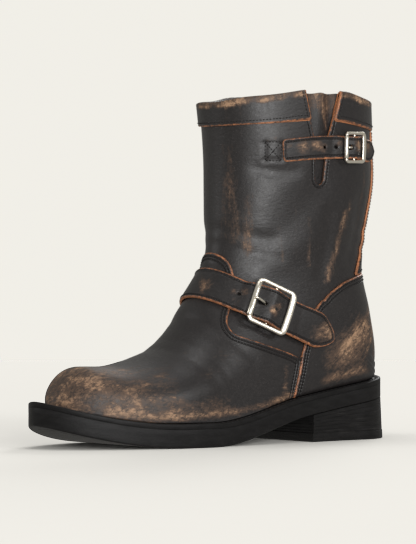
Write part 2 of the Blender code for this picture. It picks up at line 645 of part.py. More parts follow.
def rounded(length, width, radius, steps=3):
    """Points of a rounded rectangle."""
    points = []
    for quarter, (sx, sy) in enumerate(((1, 1), (-1, 1), (-1, -1), (1, -1))):
        cx, cy = sx * (length / 2 - radius), sy * (width / 2 - radius)
        for turn in np.linspace(quarter, quarter + 1, steps + 1) * np.pi / 2:
            points.append((cx + radius * np.cos(turn), cy + radius * np.sin(turn)))
    return points


def make_buckle(name, size, matrix, lower_face, group, cutters):
    """A frame with a roller on its front bar, a middle bar under the strap, and a prong.

    lower_face gives the height of the strap's lower face above the frame's plane.
    """
    length, width = size["frame"]
    rail, thick, bar = size["rail"], size["rail_thick"], size["bar"]
    rim = 0.5
    inner_length, inner_width = length - 2 * rail, width - 2 * rail
    splines = [(rounded(length - 2 * rim, width - 2 * rim, rail - rim), True),
               (rounded(inner_length + 2 * rim, inner_width + 2 * rim, 1.8), True)]
    frame = curve_mesh(name + "_buckle", splines, matrix, "metal", group, thick / 2 - rim, rim, True, 0)

    # The front bar is a thin axle for the roller, so the frame's plate is cut away there.
    front = -(length - rail) / 2
    half_gap = inner_width / 2 - 0.2
    notch = curve_mesh(name + "_notch", [([(front - rail, -half_gap), (front + rail, -half_gap),
                                           (front + rail, half_gap), (front - rail, half_gap)], True)],
                       matrix, None, cutters, thick, 0.0, True)
    notch.hide_render = True
    notch.display_type = "WIRE"
    cut(frame, notch, "DIFFERENCE")
    reach = inner_width / 2 + 0.9
    drop = thick / 2 - 0.2
    for label, x, z in (("axle", front, 0.0), ("bar", 0.0, -drop)):
        rod = curve_mesh(name + "_" + label, [([(x, -reach, z), (x, reach, z)], False)], matrix, None,
                         cutters, bevel=bar, rounds=2)
        rod.hide_render = True
        rod.display_type = "WIRE"
        cut(frame, rod, "UNION")

    roller = size["roller"]
    long = inner_width / 2 - 0.5
    bore = bar + GAP
    tube = [(bore, -long), (roller, -long), (roller, long), (bore, long)]
    bm = bmesh.new()
    sides = 12
    rings = []
    for radius, y in tube:
        rings.append([bm.verts.new(((front + radius * np.cos(a)) * MM, y * MM, radius * np.sin(a) * MM))
                      for a in np.linspace(0, 2 * np.pi, sides, endpoint=False)])
    for i in range(len(rings)):
        ring, after = rings[i], rings[(i + 1) % len(rings)]
        for j in range(sides):
            bm.faces.new((ring[j], ring[(j + 1) % sides], after[(j + 1) % sides], after[j]))
    add_piece(name + "_roller", bm, "metal", group).matrix_world = matrix

    prong, (slot, slot_length) = size["prong"], size["slot"]
    above, below = slot - 0.42 * slot_length, slot + 0.42 * slot_length
    path = [(-bar - GAP - prong, 0, -drop - bar - GAP), (below, 0, lower_face(below) - prong - GAP),
            (above, 0, lower_face(above) + size["thick"] + prong + GAP),
            (front + roller * 0.7, 0, roller + GAP + prong + 0.3),
            (front - roller * 0.6, 0, roller + GAP + prong)]
    curve_mesh(name + "_prong", [(path, False)], matrix, "metal", group, bevel=prong, rounds=2)


def strap_stations(size, start, lift):
    """Stations of a long strap: under its roller, over the middle bar, under the rear bar, to its tip."""
    half, thick, low = size["width"] / 2, size["thick"], size["under"]
    front, over, hump = lift
    reach, bar = size["frame"][0] / 2, size["bar"]
    count = int((-reach - 7 - start) / size["spacing"]) + 1
    stations = [(t, half, low, thick, 0.0) for t in np.linspace(start, -reach - 7, count)]
    stations += [(-reach - 2, half, front, thick, 0.6), (-reach + 2, half, front, thick, 1.0),
                 (-reach * 0.55, half, front + 0.35 * (hump - front), thick, 1.0),
                 (-reach * 0.28, half, front + 0.8 * (hump - front), thick, 1.0),
                 (-bar, half, hump, thick, 1.0), (bar, half, hump, thick, 1.0),
                 (reach * 0.28, half, over + 0.7 * (hump - over), thick, 1.0),
                 (reach * 0.55, half, over + 0.25 * (hump - over), thick, 1.0),
                 (reach - 3, half, over, thick, 1.0), (reach + 1, half, over, thick, 0.8)]
    shoulder = size["tip"] - size["tip_length"]
    stations += [(t, half, over, thick, 0.0) for t in np.linspace(reach + 6, shoulder, 3)]
    for share in (0.2, 0.4, 0.6, 0.75, 0.88, 0.96, 1.0):
        narrow = max(half * (1 - share**1.6) ** 0.75, 0.8)
        settle = over - size["droop"] * max(0.0, share - 0.2)
        stations.append((shoulder + size["tip_length"] * share, narrow, settle, thick, 0.0))
    return stations


def make_straps(group, cutters):
    rows = {"instep": instep_row, "top": top_row}
    for name, size in STRAPS.items():
        row_at, bar_u = rows[name], size["bar_u"]
        half, thick, low, bar = size["width"] / 2, size["thick"], size["under"], size["bar"]
        reach = size["frame"][0] / 2
        over = low + CHAPE_THICK + GAP
        height = over + thick + GAP + size["rail_thick"] / 2
        bar_height = height - size["rail_thick"] / 2 + 0.2
        lift = (height - size["roller"] - GAP - thick - 0.1, over, bar_height + bar + GAP)
        start = size["start"]
        if start is None:
            line_u, line_t = strap_line(row_at, bar_u)
            start = float(np.interp(-INSTEP_END, -line_u, line_t))
        matrix = strap_frame(row_at, bar_u, 0.0, height)
        plane = (matrix, height)
        stations = strap_stations(size, start, lift)
        strap = ribbon(name + "_strap", row_at, bar_u, stations, plane, "overlay", group, size["lanes"])

        under_bar = bar_height - bar - GAP - CHAPE_THICK
        stations = [(0.2 - bar, half - 1.0, under_bar, CHAPE_THICK, 1.0),
                    (bar + 1.0, half - 1.0, under_bar, CHAPE_THICK, 1.0),
                    (reach * 0.6, half - 1.0, (low + under_bar) / 2, CHAPE_THICK, 0.6)]
        stations += [(t, half - 1.0, low, CHAPE_THICK, 0.0) for t in np.linspace(reach, size["chape"], 4)]
        ribbon(name + "_chape", row_at, bar_u, stations, plane, "overlay", group, size["lanes"])

        distances, _, lows, _, _ = zip(*strap_stations(size, start, lift))

        def lower_face(t):
            return float(np.interp(t, distances, lows)) - height

        make_buckle(name, size, matrix, lower_face, group, cutters)
        slot, slot_length = size["slot"]
        punched = [(slot, slot_length)] + [(t, 2 * HOLE) for t in size["holes"]]
        for number, (t, long) in enumerate(punched):
            at = strap_frame(row_at, bar_u, t, low + thick)
            if number == 0:
                at = matrix @ Matrix.Translation((slot * MM, 0, 0))
            outline = rounded(long, 2 * HOLE, HOLE - 0.01, steps=2)
            hole = curve_mesh(f"{name}_hole_{number}", [(outline, True)], at, None, cutters, 8.0, 0.0, True)
            hole.hide_render = True
            hole.display_type = "WIRE"
            cut(strap, hole, "DIFFERENCE")


def main():
    clear_scene()
    boot = collection("engineer_boot")
    cutters = collection("cutters")
    make_sole(boot)
    make_upper(boot, cutters)
    make_straps(boot, cutters)


main()
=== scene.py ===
"""Engineer boot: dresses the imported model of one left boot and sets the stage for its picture.

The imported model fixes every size. The leather pieces lie on the model's own last, and are cut,
folded, stitched and worn here. Inside the functions a place is (x, s, z) in millimetres, where s
runs forward from the back of the heel; meshes are in metres, in the model's frame.
"""

import bmesh
import bpy
import numpy as np
from bpy.props import FloatProperty, FloatVectorProperty, IntProperty, PointerProperty
from mathutils import Matrix, Vector
from mathutils.kdtree import KDTree


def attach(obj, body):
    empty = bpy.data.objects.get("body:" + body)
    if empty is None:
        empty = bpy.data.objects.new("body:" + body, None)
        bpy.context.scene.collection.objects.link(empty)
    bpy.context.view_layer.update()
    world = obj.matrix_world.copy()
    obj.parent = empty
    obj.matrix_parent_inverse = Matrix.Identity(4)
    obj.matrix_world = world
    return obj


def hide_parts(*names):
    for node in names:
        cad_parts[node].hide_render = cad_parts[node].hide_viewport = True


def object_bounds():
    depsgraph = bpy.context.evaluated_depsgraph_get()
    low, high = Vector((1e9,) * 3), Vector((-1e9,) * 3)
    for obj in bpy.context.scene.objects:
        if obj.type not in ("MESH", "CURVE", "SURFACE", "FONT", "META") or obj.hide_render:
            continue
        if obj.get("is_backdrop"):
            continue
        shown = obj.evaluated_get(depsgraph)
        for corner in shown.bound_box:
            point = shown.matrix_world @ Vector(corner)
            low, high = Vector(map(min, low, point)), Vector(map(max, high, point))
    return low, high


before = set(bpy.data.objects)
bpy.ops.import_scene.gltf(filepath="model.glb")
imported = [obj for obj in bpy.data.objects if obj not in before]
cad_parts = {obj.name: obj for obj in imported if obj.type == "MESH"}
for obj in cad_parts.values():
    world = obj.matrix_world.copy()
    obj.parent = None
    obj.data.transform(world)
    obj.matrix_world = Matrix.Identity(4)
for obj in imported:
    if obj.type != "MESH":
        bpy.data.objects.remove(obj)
cad_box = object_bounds()

bl_info = {
    "name": "Engineer boot",
    "version": (1, 0, 0),
    "blender": (4, 5, 0),
    "location": "3D View > Sidebar > Boot",
    "description": "Dresses the packed engineer boot in leather, thread, rubber and metal, and lights it",
    "category": "Object",
}

MM = 0.001
NUDGE = -0.9

# Sole and last, as in the model
SOLE_LENGTH, HEEL_HALF, HEEL_ROUND = 287.0, 36.5, 35.0
BALL = {+1: (180.0, 52.5), -1: (199.0, 51.5)}
TOE_SHIFT, TOE_TURN, TOE_POWER, HEEL_POWER, ARCH = -1.5, 240.0, 1.8, 2.4, 4.0
HEEL_LENGTH, REAR_RISE, BREAST_RISE = 80.5, 30.2, 18.5
FLAT_FROM, FLAT_TO, SPRING, SPRING_POWER, WAIST_SLOPE = 175.0, 197.5, 15.9, 2.0, 0.85
SOLE_THICK_HEEL, SOLE_THICK_BALL = 14.1, 16.3
WELT, WELT_REACH, LIFT, HEEL_FLARE, GAP, SEAT_GAP = 3.4, 16.0, 6.0, 1.4, 0.3, 0.6
WALL, OVERLAY, COUNTER, PANEL, CUFF, GUSSET = 2.2, (0.3, 1.8), (0.3, 2.0), (0.3, 1.7), (0.3, 2.0), (-3.9, -2.5)
FEATHER, FEATHER_REAR, FEATHER_TOE = 7.0, 8.5, 15.3
COLUMNS = ("bottom_s", "bottom_z", "top_s", "top_z", "lateral", "medial", "widest", "low", "high", "ridge")
SECTIONS = (
    (271.7, None, 271.7, 49.9, 46.0, 45.5, 0.34, 2.00, 2.2, -3.0),
    (250.0, None, 250.0, 52.4, 46.0, 45.5, 0.34, 2.00, 2.2, -4.0),
    (222.0, None, 222.0, 52.6, 46.0, 45.5, 0.34, 2.00, 2.1, -5.0),
    (196.0, None, 198.0, 57.5, 46.0, 45.5, 0.34, 2.00, 2.1, -5.0),
    (172.0, None, 180.0, 65.0, 45.0, 44.0, 0.36, 2.00, 2.0, -4.0),
    (148.0, None, 165.0, 79.0, 42.0, 41.0, 0.38, 2.00, 1.9, -3.0),
    (120.0, None, 155.5, 95.0, 40.0, 39.0, 0.40, 2.00, 1.9, -2.0),
    (85.0, None, 145.0, 111.0, 38.5, 38.0, 0.42, 2.10, 1.9, -1.0),
    (45.0, None, 140.8, 119.0, 38.0, 37.5, 0.45, 2.20, 2.0, 0.0),
    (20.0, None, 140.2, 125.0, 38.0, 37.5, 0.47, 1.95, 2.0, 0.0),
    (8.5, None, 139.5, 130.0, 38.0, 37.5, 0.48, 2.70, 2.0, 0.0),
    (6.4, 62.0, 139.0, 137.0, 38.0, 37.5, 0.49, 2.70, 2.0, 0.0),
    (10.3, 87.0, 138.4, 146.0, 38.5, 38.5, 0.50, 2.50, 2.0, 0.0),
    (16.0, 115.0, 137.7, 158.0, 39.5, 39.5, 0.50, 2.25, 2.1, 0.0),
    (11.7, 146.0, 137.2, 174.0, 41.5, 41.5, 0.50, 2.10, 2.1, 0.0),
    (5.8, 180.0, 137.2, 193.0, 43.5, 43.5, 0.50, 2.10, 2.1, 0.0),
    (6.6, 210.0, 138.3, 214.0, 45.0, 45.0, 0.50, 2.10, 2.1, 0.0),
    (7.4, 235.5, 140.5, 235.0, 46.0, 46.0, 0.50, 2.10, 2.1, 0.0),
)
LAST_FOOT, COLLAR, TOE_REACH, TOE_ROUND, LOWER_SHARE = 10, 17.0, 25.0, 1.7, 0.36
COLLAR_RISE, RISE_FROM = (3.5, 3.0), 14.0

# Outlines of the overlays, seen from the side: (s, z)
VAMP_EDGE = ((150, 132.6), (141.5, 132.6), (138.6, 131), (135.6, 127), (133.8, 122), (133.4, 113),
             (137, 101), (142.5, 91), (145.8, 84), (145.4, 78.5), (141.5, 74.6), (126.6, 69.7),
             (102.3, 62.4), (90.5, 57.8))
COUNTER_TOP = ((-12, 119.5), (12, 118.5), (24, 117), (37, 114.7), (51.3, 110.8), (64.4, 103.5),
               (74.5, 95.3), (79.4, 86.5), (84, 75), (88.6, 62.5))
COUNTER_FRONT = ((88.6, 62.5), (91.7, 47.8), (96.0, 30.0), (98.0, 14.0))
PANEL_EDGE = ((36.6, 116.5), (31, 125), (25.6, 135), (21.8, 149), (18.6, 162.5),
              (15.4, 175), (13.8, 187), (13.8, 202), (14.6, 228))
CUFF_ROW = 16.26
SLIT_AT, SLIT_FOOT, GUSSET_MARGIN = 76.2, 179.5, 5.5
SLIT = ((15.4, 252.0), (15.0, 241.0), (6.3, 212.4), (4.6, 194.5))
STRAPS = {
    "instep": {"width": 25.0, "thick": 2.0, "under": 2.8, "bar_u": -0.455, "start": None,
               "tip": 55.0, "tip_length": 17.0, "droop": 1.4, "chape": 34.0,
               "frame": (31.5, 34.0), "rail": 3.4, "rail_thick": 2.8, "roller": 2.1, "bar": 1.0,
               "prong": 0.9, "slot": (-7.0, 6.4), "holes": (-23.0,)},
    "top": {"width": 15.5, "thick": 1.8, "under": 0.6, "bar_u": -0.712, "start": -56.5,
            "tip": 32.0, "tip_length": 11.0, "droop": 0.0, "chape": 24.0,
            "frame": (22.0, 22.5), "rail": 2.6, "rail_thick": 2.2, "roller": 1.6, "bar": 0.8,
            "prong": 0.7, "slot": (-4.9, 5.0), "holes": (-24.5, -15.5)},
}
INSTEP_END, HOLE, CHAPE_THICK = 0.80, 1.5, 1.5

# Sewing: how far a seam lies from its edge, its stitches' length, and the longest edge of a hole
SEAM, SEAM_STEP, STRAP_SEAM, SHORT_STITCH, WELT_STITCH = 2.4, 2.2, 2.1, 2.0, 4.2
HOLE_EDGE = 26.0
# The box with its cross beside the collar strap, by column and row
BOX_STITCH = ((-0.336, 15.74), (-0.336, 15.19), (-0.417, 15.20), (-0.417, 15.73), (-0.336, 15.74), (-0.417, 15.20))
BOX_CROSS = ((-0.336, 15.19), (-0.417, 15.73))

# Rubbed spots of each strap: distance along it, place across it, radius and strength
STRAP_SPOTS = {
    "instep": ((-46, -2, 6, 0.55), (-20, 3, 3, 0.62), (-26, 0, 3, 0.5), (2, -3, 3.5, 0.95), (5, 2, 3, 0.6),
               (40, -3, 8, 0.55), (46, 4, 6, 0.72), (50, 0, 4, 0.6), (-70, 3, 9, 0.42)),
    "top": ((-42, 2, 5, 0.75), (-32, 2, 4, 0.7), (-26, -1, 4, 0.6), (3, 1, 5, 0.95), (-14, 3, 3, 0.6),
            (18, 1, 8, 0.5), (-52, 3, 3, 0.45)),
}

# Lamps: name, metres to the camera's right, toward the camera and up, width, share of the key light
LAMPS = (
    ("key", 0.30, 1.50, 0.16, 0.75, 1.0),
    ("low", 1.05, 1.00, 0.60, 0.5, 0.30),
    ("side", -1.40, 0.10, 0.55, 0.5, 0.12),
    ("top", 0.0, 0.0, 1.55, 0.8, 0.22),
    ("rim", 0.5, -1.3, 0.9, 0.8, 0.42),
)
CAMERA_RIGHT, CAMERA_SIDE = (0.591, 0.807, 0), (0.807, -0.591, 0)

# Soft folds of the leather: side (+1 lateral, -1 medial, 0 both), rise in millimetres, half width,
# and the places (s, z) that a fold runs through, seen from the side
FOLDS = (
    (+1, -0.75, 9.0, ((70, 184), (84, 168), (98, 154), (114, 140))),
    (+1, 0.7, 10.0, ((92, 192), (104, 180), (120, 168))),
    (+1, 0.7, 9.0, ((84, 140), (100, 130), (116, 120))),
    (+1, -0.8, 5.0, ((66, 160), (68, 138), (72, 116))),
    (+1, 0.7, 6.0, ((52, 168), (56, 146), (64, 116))),
    (+1, -0.9, 6.0, ((34, 170), (36, 148), (42, 128))),
    (0, -0.55, 4.5, ((142, 150), (128, 145), (110, 142))),
    (0, -0.5, 4.0, ((138, 138), (122, 131), (104, 128))),
    (0, -0.7, 3.5, ((6, 132), (20, 134), (36, 137))),
    (0, -0.6, 3.5, ((8, 146), (22, 147), (34, 151))),
    (-1, -1.1, 8.0, ((58, 190), (78, 170), (98, 152), (118, 142))),
    (-1, 0.9, 9.0, ((64, 150), (84, 136), (106, 126))),
    (-1, -0.8, 5.0, ((44, 168), (50, 142), (58, 122))),
    (+1, 1.1, 8.0, ((110, 207), (110, 197))),
    (+1, -0.55, 1.5, ((117.4, 208), (117, 196.2))),
    (+1, -0.55, 1.5, ((106.8, 208), (106.8, 196.2))),
    (+1, -0.55, 1.5, ((117.4, 208), (106.8, 208))),
    (+1, -0.55, 1.5, ((117.2, 196.2), (106.8, 196.2))),
    (+1, -0.9, 5.0, ((120, 190), (108, 188), (96, 189))),
    (0, -0.22, 3.5, ((182, 66), (172, 52), (164, 40))),
    (0, -0.18, 3.0, ((172, 70), (162, 56), (153, 42))),
    (0, 0.25, 6.0, ((190, 60), (181, 48), (174, 38))),
    (0, -0.5, 4.0, ((158, 84), (146, 70), (132, 58))),
)

# Worn places: side, strength, radius, and the places (s, z) that each runs through
RUBBED = (
    (+1, 0.40, 3.0, ((135, 206), (133, 172), (132, 140))),
    (+1, 0.20, 9.0, ((134, 180), (130, 140))),
    (+1, 0.42, 2.6, ((125, 172), (123, 132))),
    (+1, 0.30, 3.5, ((97, 165), (94, 150), (93, 128))),
    (+1, 0.38, 3.0, ((84, 162), (83, 124))),
    (+1, 0.62, 2.4, ((52, 160), (58, 138), (67, 112))),
    (+1, 0.30, 7.0, ((46, 166), (64, 116))),
    (+1, 0.38, 3.2, ((30, 192), (33, 150))),
    (+1, 0.30, 3.0, ((108, 150), (104, 128))),
    (+1, 0.45, 3.0, ((117, 210), (112, 211))),
    (0, 0.30, 12.0, ((170, 52), (150, 60))),
    (0, 0.66, 3.2, ((246, 24), (220, 21), (192, 21.5), (156, 23), (123, 27), (98, 33))),
    (0, 0.40, 8.0, ((240, 27), (200, 27), (160, 29))),
    (+1, 0.55, 3.0, ((104, 52), (105, 38))),
    (0, 0.50, 8.0, ((269, 30), (262, 40), (250, 46))),
    (0, 0.50, 9.0, ((262, 34), (246, 36), (228, 33))),
    (0, 0.40, 8.0, ((256, 50), (240, 52), (226, 51))),
    (0, 0.45, 4.0, ((270, 27), (252, 26), (226, 25))),
    (0, 0.34, 15.0, ((244, 42), (204, 42))),
    (+1, 0.54, 9.0, ((48, 60), (40, 68), (34, 78))),
    (+1, 0.48, 14.0, ((60, 54), (32, 78))),
    (+1, 0.30, 18.0, ((66, 66), (24, 60))),
    (+1, 0.58, 3.4, ((70, 41.5), (50, 46), (30, 49))),
    (+1, 0.40, 6.0, ((20, 96), (15, 62))),
    (-1, 0.52, 9.0, ((50, 52), (34, 80))),
    (-1, 0.36, 15.0, ((62, 50), (30, 84))),
    (-1, 0.42, 4.5, ((124, 176), (120, 136))),
    (-1, 0.40, 4.0, ((62, 178), (68, 132))),
    (-1, 0.42, 3.5, ((28, 186), (30, 146))),
    (-1, 0.36, 3.5, ((92, 190), (90, 150))),
    (-1, 0.30, 9.0, ((150, 50), (120, 56))),
)


def under(s):
    """Height of the sole's underside."""
    s = np.asarray(s, float)
    heel = REAR_RISE + (BREAST_RISE - REAR_RISE) * s / HEEL_LENGTH
    t = np.clip((s - HEEL_LENGTH) / (FLAT_FROM - HEEL_LENGTH), 0, 1)
    slope = (BREAST_RISE - REAR_RISE) / HEEL_LENGTH * (FLAT_FROM - HEEL_LENGTH) * WAIST_SLOPE
    waist = BREAST_RISE * (2 * t**3 - 3 * t**2 + 1) + slope * (t**3 - 2 * t**2 + t)
    spring = SPRING * np.clip((s - FLAT_TO) / (SOLE_LENGTH - FLAT_TO), 0, 1) ** SPRING_POWER
    return np.where(s < HEEL_LENGTH, heel, waist + spring)


def sole_thickness(s):
    t = np.clip((np.asarray(s, float) - HEEL_LENGTH) / (FLAT_FROM - HEEL_LENGTH), 0, 1)
    return SOLE_THICK_HEEL + (SOLE_THICK_BALL - SOLE_THICK_HEEL) * t


def seat(s):
    """Height of the welt's upper face, on which the upper stands."""
    return under(s) + sole_thickness(s)


def half_width(s, side, inset=0.0, rear=0.0, toe=0.0):
    """Half width of the sole's outline at s, drawn in at its sides, rear and toe."""
    s = np.asarray(s, float)
    ball_s, ball = BALL[side]
    heel, ball = HEEL_HALF - inset, ball - inset
    back = np.clip((HEEL_ROUND - s) / (HEEL_ROUND - rear), 0, 1)
    rounded = heel * (1 - back**HEEL_POWER) ** (1 / HEEL_POWER)
    t = np.clip((s - HEEL_ROUND) / (ball_s - HEEL_ROUND), 0, 1)
    waist = heel + (ball - heel) * t * t * (3 - 2 * t)
    if side < 0:
        waist = waist - ARCH * np.sin(np.pi * np.clip(t / 0.9, 0, 1)) ** 2
    front = np.clip((s - ball_s) / (SOLE_LENGTH - toe - ball_s), 0, 1)
    tip = TOE_SHIFT * side
    toe_part = tip + (ball - tip) * (1 - front**TOE_POWER) ** (1 / TOE_POWER)
    return np.where(s < HEEL_ROUND, rounded, np.where(s < ball_s, waist, toe_part))


def section_table():
    rows = np.array([[np.nan if value is None else value for value in row] for row in SECTIONS])
    on_sole = np.isnan(rows[:, 1])
    rows[on_sole, 1] = seat(rows[on_sole, 0]) + SEAT_GAP
    return rows


TABLE = section_table()


def between_rows(v):
    """The section table's columns at row v, smoothly between its rows."""
    v = np.asarray(v, float)
    i = np.clip(np.floor(v).astype(int), 0, len(TABLE) - 2)
    t = (v - i)[..., None]
    a, b = TABLE[np.clip(i - 1, 0, None)], TABLE[i]
    c, d = TABLE[i + 1], TABLE[np.clip(i + 2, None, len(TABLE) - 1)]
    return 0.5 * (2 * b + (c - a) * t + (2 * a - 5 * b + 4 * c - d) * t**2 + (3 * b - a - 3 * c + d) * t**3)


def last(u, v, grow=0.0):
    """A point of the upper's outer face, moved out by grow.

    u runs from -1 at the lateral lower edge over 0 at the ridge to 1 at the medial lower edge, and
    v counts the rows of the section table.
    """
    u, v, grow = np.broadcast_arrays(np.asarray(u, float), np.asarray(v, float), np.asarray(grow, float))
    row = dict(zip(COLUMNS, np.moveaxis(between_rows(v), -1, 0)))
    step = 0.02
    ahead = between_rows(np.clip(v + step, 0, COLLAR))
    behind = between_rows(np.clip(v - step, 0, COLLAR))
    bottom_run, top_run = ahead[..., 0:2] - behind[..., 0:2], ahead[..., 2:4] - behind[..., 2:4]
    bottom_run /= np.linalg.norm(bottom_run, axis=-1, keepdims=True)
    top_run /= np.linalg.norm(top_run, axis=-1, keepdims=True)
    foot = v <= LAST_FOOT
    rear, tip = FEATHER_REAR - grow, SOLE_LENGTH - FEATHER_TOE + grow
    along = (row["bottom_s"] - FEATHER_REAR) / (SOLE_LENGTH - FEATHER_TOE - FEATHER_REAR)
    on_feather = rear + np.clip(along, 0, 1) * (tip - rear)
    rise = np.clip(v - LAST_FOOT, 0, 1)
    bottom_s = np.where(foot, on_feather, row["bottom_s"] - grow * bottom_run[..., 1])
    bottom_z = np.where(foot, seat(on_feather) + SEAT_GAP, row["bottom_z"] + grow * bottom_run[..., 0] * rise)
    near_toe = np.where(foot, 1 - np.clip((tip - bottom_s) / TOE_REACH, 0, 1), 0.0)
    closing = (1 - near_toe**TOE_ROUND) ** (1 / TOE_ROUND)
    top_s = row["top_s"] + (bottom_s - row["bottom_s"]) * near_toe + grow * top_run[..., 1] * closing
    height = np.where(foot, row["top_z"] - seat(row["bottom_s"]) - SEAT_GAP, 0) - grow * top_run[..., 0]
    top_z = np.where(foot, bottom_z + height * closing, row["top_z"] - grow * top_run[..., 0])

    lateral = u <= 0
    middle = TOE_SHIFT * np.clip((bottom_s - TOE_TURN) / (tip - TOE_TURN), 0, 1) ** 2
    feather, widest = np.zeros_like(u), np.zeros_like(u)
    for side, mine in ((+1, lateral), (-1, ~lateral)):
        inset, rear_in, toe_in = FEATHER - grow, FEATHER_REAR - grow, FEATHER_TOE - grow
        edge = half_width(bottom_s, side, inset, rear_in, toe_in) - side * middle
        ball_s, ball = BALL[side]
        shrink = np.where(foot & (bottom_s > ball_s), edge / (ball - inset), 1.0)
        feather = np.where(mine & foot, edge, feather)
        width = row["lateral" if side > 0 else "medial"] + grow
        widest = np.where(mine, width * np.clip(shrink, 0, 1), widest)
    feather = np.maximum(feather, 0)

    share = 1 - np.abs(u)
    low_turn = np.clip(share / LOWER_SHARE, 0, 1) * np.pi / 2
    high_turn = np.clip((share - LOWER_SHARE) / (1 - LOWER_SHARE), 0, 1) * np.pi / 2
    low, high, level = row["low"], row["high"], row["widest"]
    low_t = level * (1 - np.abs(np.cos(low_turn)) ** (2 / low))
    low_w = feather + (widest - feather) * np.sin(low_turn) ** (2 / low)
    high_t = level + (1 - level) * np.sin(high_turn) ** (2 / high)
    high_w = widest * np.abs(np.cos(high_turn)) ** (2 / high)
    t = np.where(share < LOWER_SHARE, low_t, high_t)
    w = np.where(share < LOWER_SHARE, low_w, high_w)
    s = bottom_s + (top_s - bottom_s) * t
    z = bottom_z + (top_z - bottom_z) * t
    x = np.where(lateral, w, -w) + row["ridge"] * t**2 * closing + np.where(foot, middle, 0.0)
    k = np.clip((v - RISE_FROM) / (COLLAR - RISE_FROM), 0, 1)
    spread = np.clip(w / SECTIONS[-1][COLUMNS.index("lateral")], 0, 1)
    z = z + k * k * (3 - 2 * k) * (COLLAR_RISE[0] * spread**2 + COLLAR_RISE[1] * spread**12)
    return np.stack([x, s, z], -1)


def form(u, v, grow=0.0):
    """The last, with the corner that runs up from its heel smoothed over."""
    u, v, grow = np.broadcast_arrays(np.asarray(u, float), np.asarray(v, float), np.asarray(grow, float))
    point = last(u, v, grow)
    near = np.abs(v - LAST_FOOT) < 1.1
    if near.any():
        far = 0.45 * (1 - (np.abs(v[near] - LAST_FOOT) / 1.1) ** 2)
        beside = last(u[near], v[near] - far, grow[near]) + last(u[near], v[near] + far, grow[near])
        point[near] = 0.5 * point[near] + 0.25 * beside
    return point


def place(points):
    """(x, s, z) in millimetres to the boot's frame in metres."""
    points = np.asarray(points, float)
    return np.stack([points[..., 0] + NUDGE, SOLE_LENGTH / 2 - points[..., 1], points[..., 2]], -1) * MM


def smooth_line(points, steps):
    """A smooth curve through the points of an outline."""
    points = np.asarray(points, float)
    padded = np.vstack([2 * points[0] - points[1], points, 2 * points[-1] - points[-2]])
    curve = []
    for i in range(1, len(padded) - 2):
        a, b, c, d = padded[i - 1:i + 3]
        for t in np.arange(steps) / steps:
            curve.append(0.5 * (2 * b + (c - a) * t + (2 * a - 5 * b + 4 * c - d) * t**2
                                + (3 * b - a - 3 * c + d) * t**3))
    return [tuple(p) for p in curve] + [tuple(points[-1])]


def distance(points, line):
    """Distance from each point to a line of straight pieces, in a plane."""
    line = np.asarray(line, float)
    start, run = line[:-1], np.diff(line, axis=0)
    best = np.full(len(points), np.inf)
    for a, r in zip(start, run):
        away = points - a
        t = np.clip(away @ r / max(r @ r, 1e-12), 0, 1)
        best = np.minimum(best, np.hypot(*(away - t[:, None] * r).T))
    return best


def inside(points, outline):
    """Distance to a closed outline, positive inside it."""
    ring = np.vstack([outline, outline[:1]])
    odd = np.zeros(len(points), bool)
    for (ax, ay), (bx, by) in zip(ring[:-1], ring[1:]):
        if ay != by:
            crosses = (ay > points[:, 1]) != (by > points[:, 1])
            odd ^= crosses & (points[:, 0] < ax + (points[:, 1] - ay) * (bx - ax) / (by - ay))
    return distance(points, ring) * np.where(odd, 1, -1)


def lateral_share(u):
    """1 on the lateral side and 0 on the medial side, with a soft change along ridge and back."""
    return 0.5 - 0.5 * np.clip(np.sin(np.pi * np.ravel(u)) / 0.25, -1, 1)


def along_side(u, places, table):
    """For places (s, z) on the side that u tells, how close each is to the lines of a table."""
    flat, lateral = places.reshape(-1, 2), lateral_share(u)
    shares = {0: 1.0, +1: lateral, -1: 1 - lateral}
    for which, amount, width, line in table:
        near = distance(flat, smooth_line(line, 4))
        yield amount * np.exp(-(near / width) ** 2) * shares[which]


def folds(u, v):
    """How far the worn leather stands out from its last at each place."""
    u, v = np.broadcast_arrays(np.asarray(u, float), np.asarray(v, float))
    point = last(u, v)
    rise = sum(along_side(u, point[..., 1:], FOLDS)).reshape(u.shape)
    s, z, lateral = point[..., 1], point[..., 2], lateral_share(u).reshape(u.shape)
    soft = lateral * np.sin(s / 17.0 + z / 29.0) * np.sin(z / 21.0 - s / 41.0)
    soft = soft + (1 - lateral) * np.sin(s / 19.0 - z / 27.0 + 1.7) * np.sin(z / 23.0 + s / 37.0 + 3.4)
    shaft = np.clip((v - 8.5) / 3, 0, 1)
    return rise + 0.35 * soft * (0.35 + 0.65 * shaft)


def skin(u, v, layer):
    """A point on the leather: the last, its folds and the layer above it."""
    return place(form(u, v, np.asarray(layer) + folds(u, v)))


def rubbed(u, v):
    """How strongly the leather is worn at each place, 0 to 1."""
    point = last(u, v)
    left = 1.0
    for spot in along_side(u, point[..., 1:], RUBBED):
        left = left * (1 - spot)
    return (1 - left).reshape(np.shape(u))


def walk(u, v, across, far, steps=4):
    """Move over the last's face by a distance across a line, and return the new column and row."""
    h = 0.004
    for _ in range(steps):
        du = (last(u + h, v) - last(u - h, v)) / (2 * h)
        dv = (last(u, v + h) - last(u, v - h)) / (2 * h)
        normal = np.cross(du, dv)
        normal /= np.linalg.norm(normal, axis=-1, keepdims=True)
        flat = across - (across * normal).sum(-1, keepdims=True) * normal
        flat /= np.linalg.norm(flat, axis=-1, keepdims=True)
        want = flat * (far / steps)[..., None]
        uu, vv, uv = (du * du).sum(-1), (dv * dv).sum(-1), (du * dv).sum(-1)
        pu, pv = (want * du).sum(-1), (want * dv).sum(-1)
        det = uu * vv - uv * uv
        u = u + (pu * vv - pv * uv) / det
        v = v + (pv * uu - pu * uv) / det
    return u, v


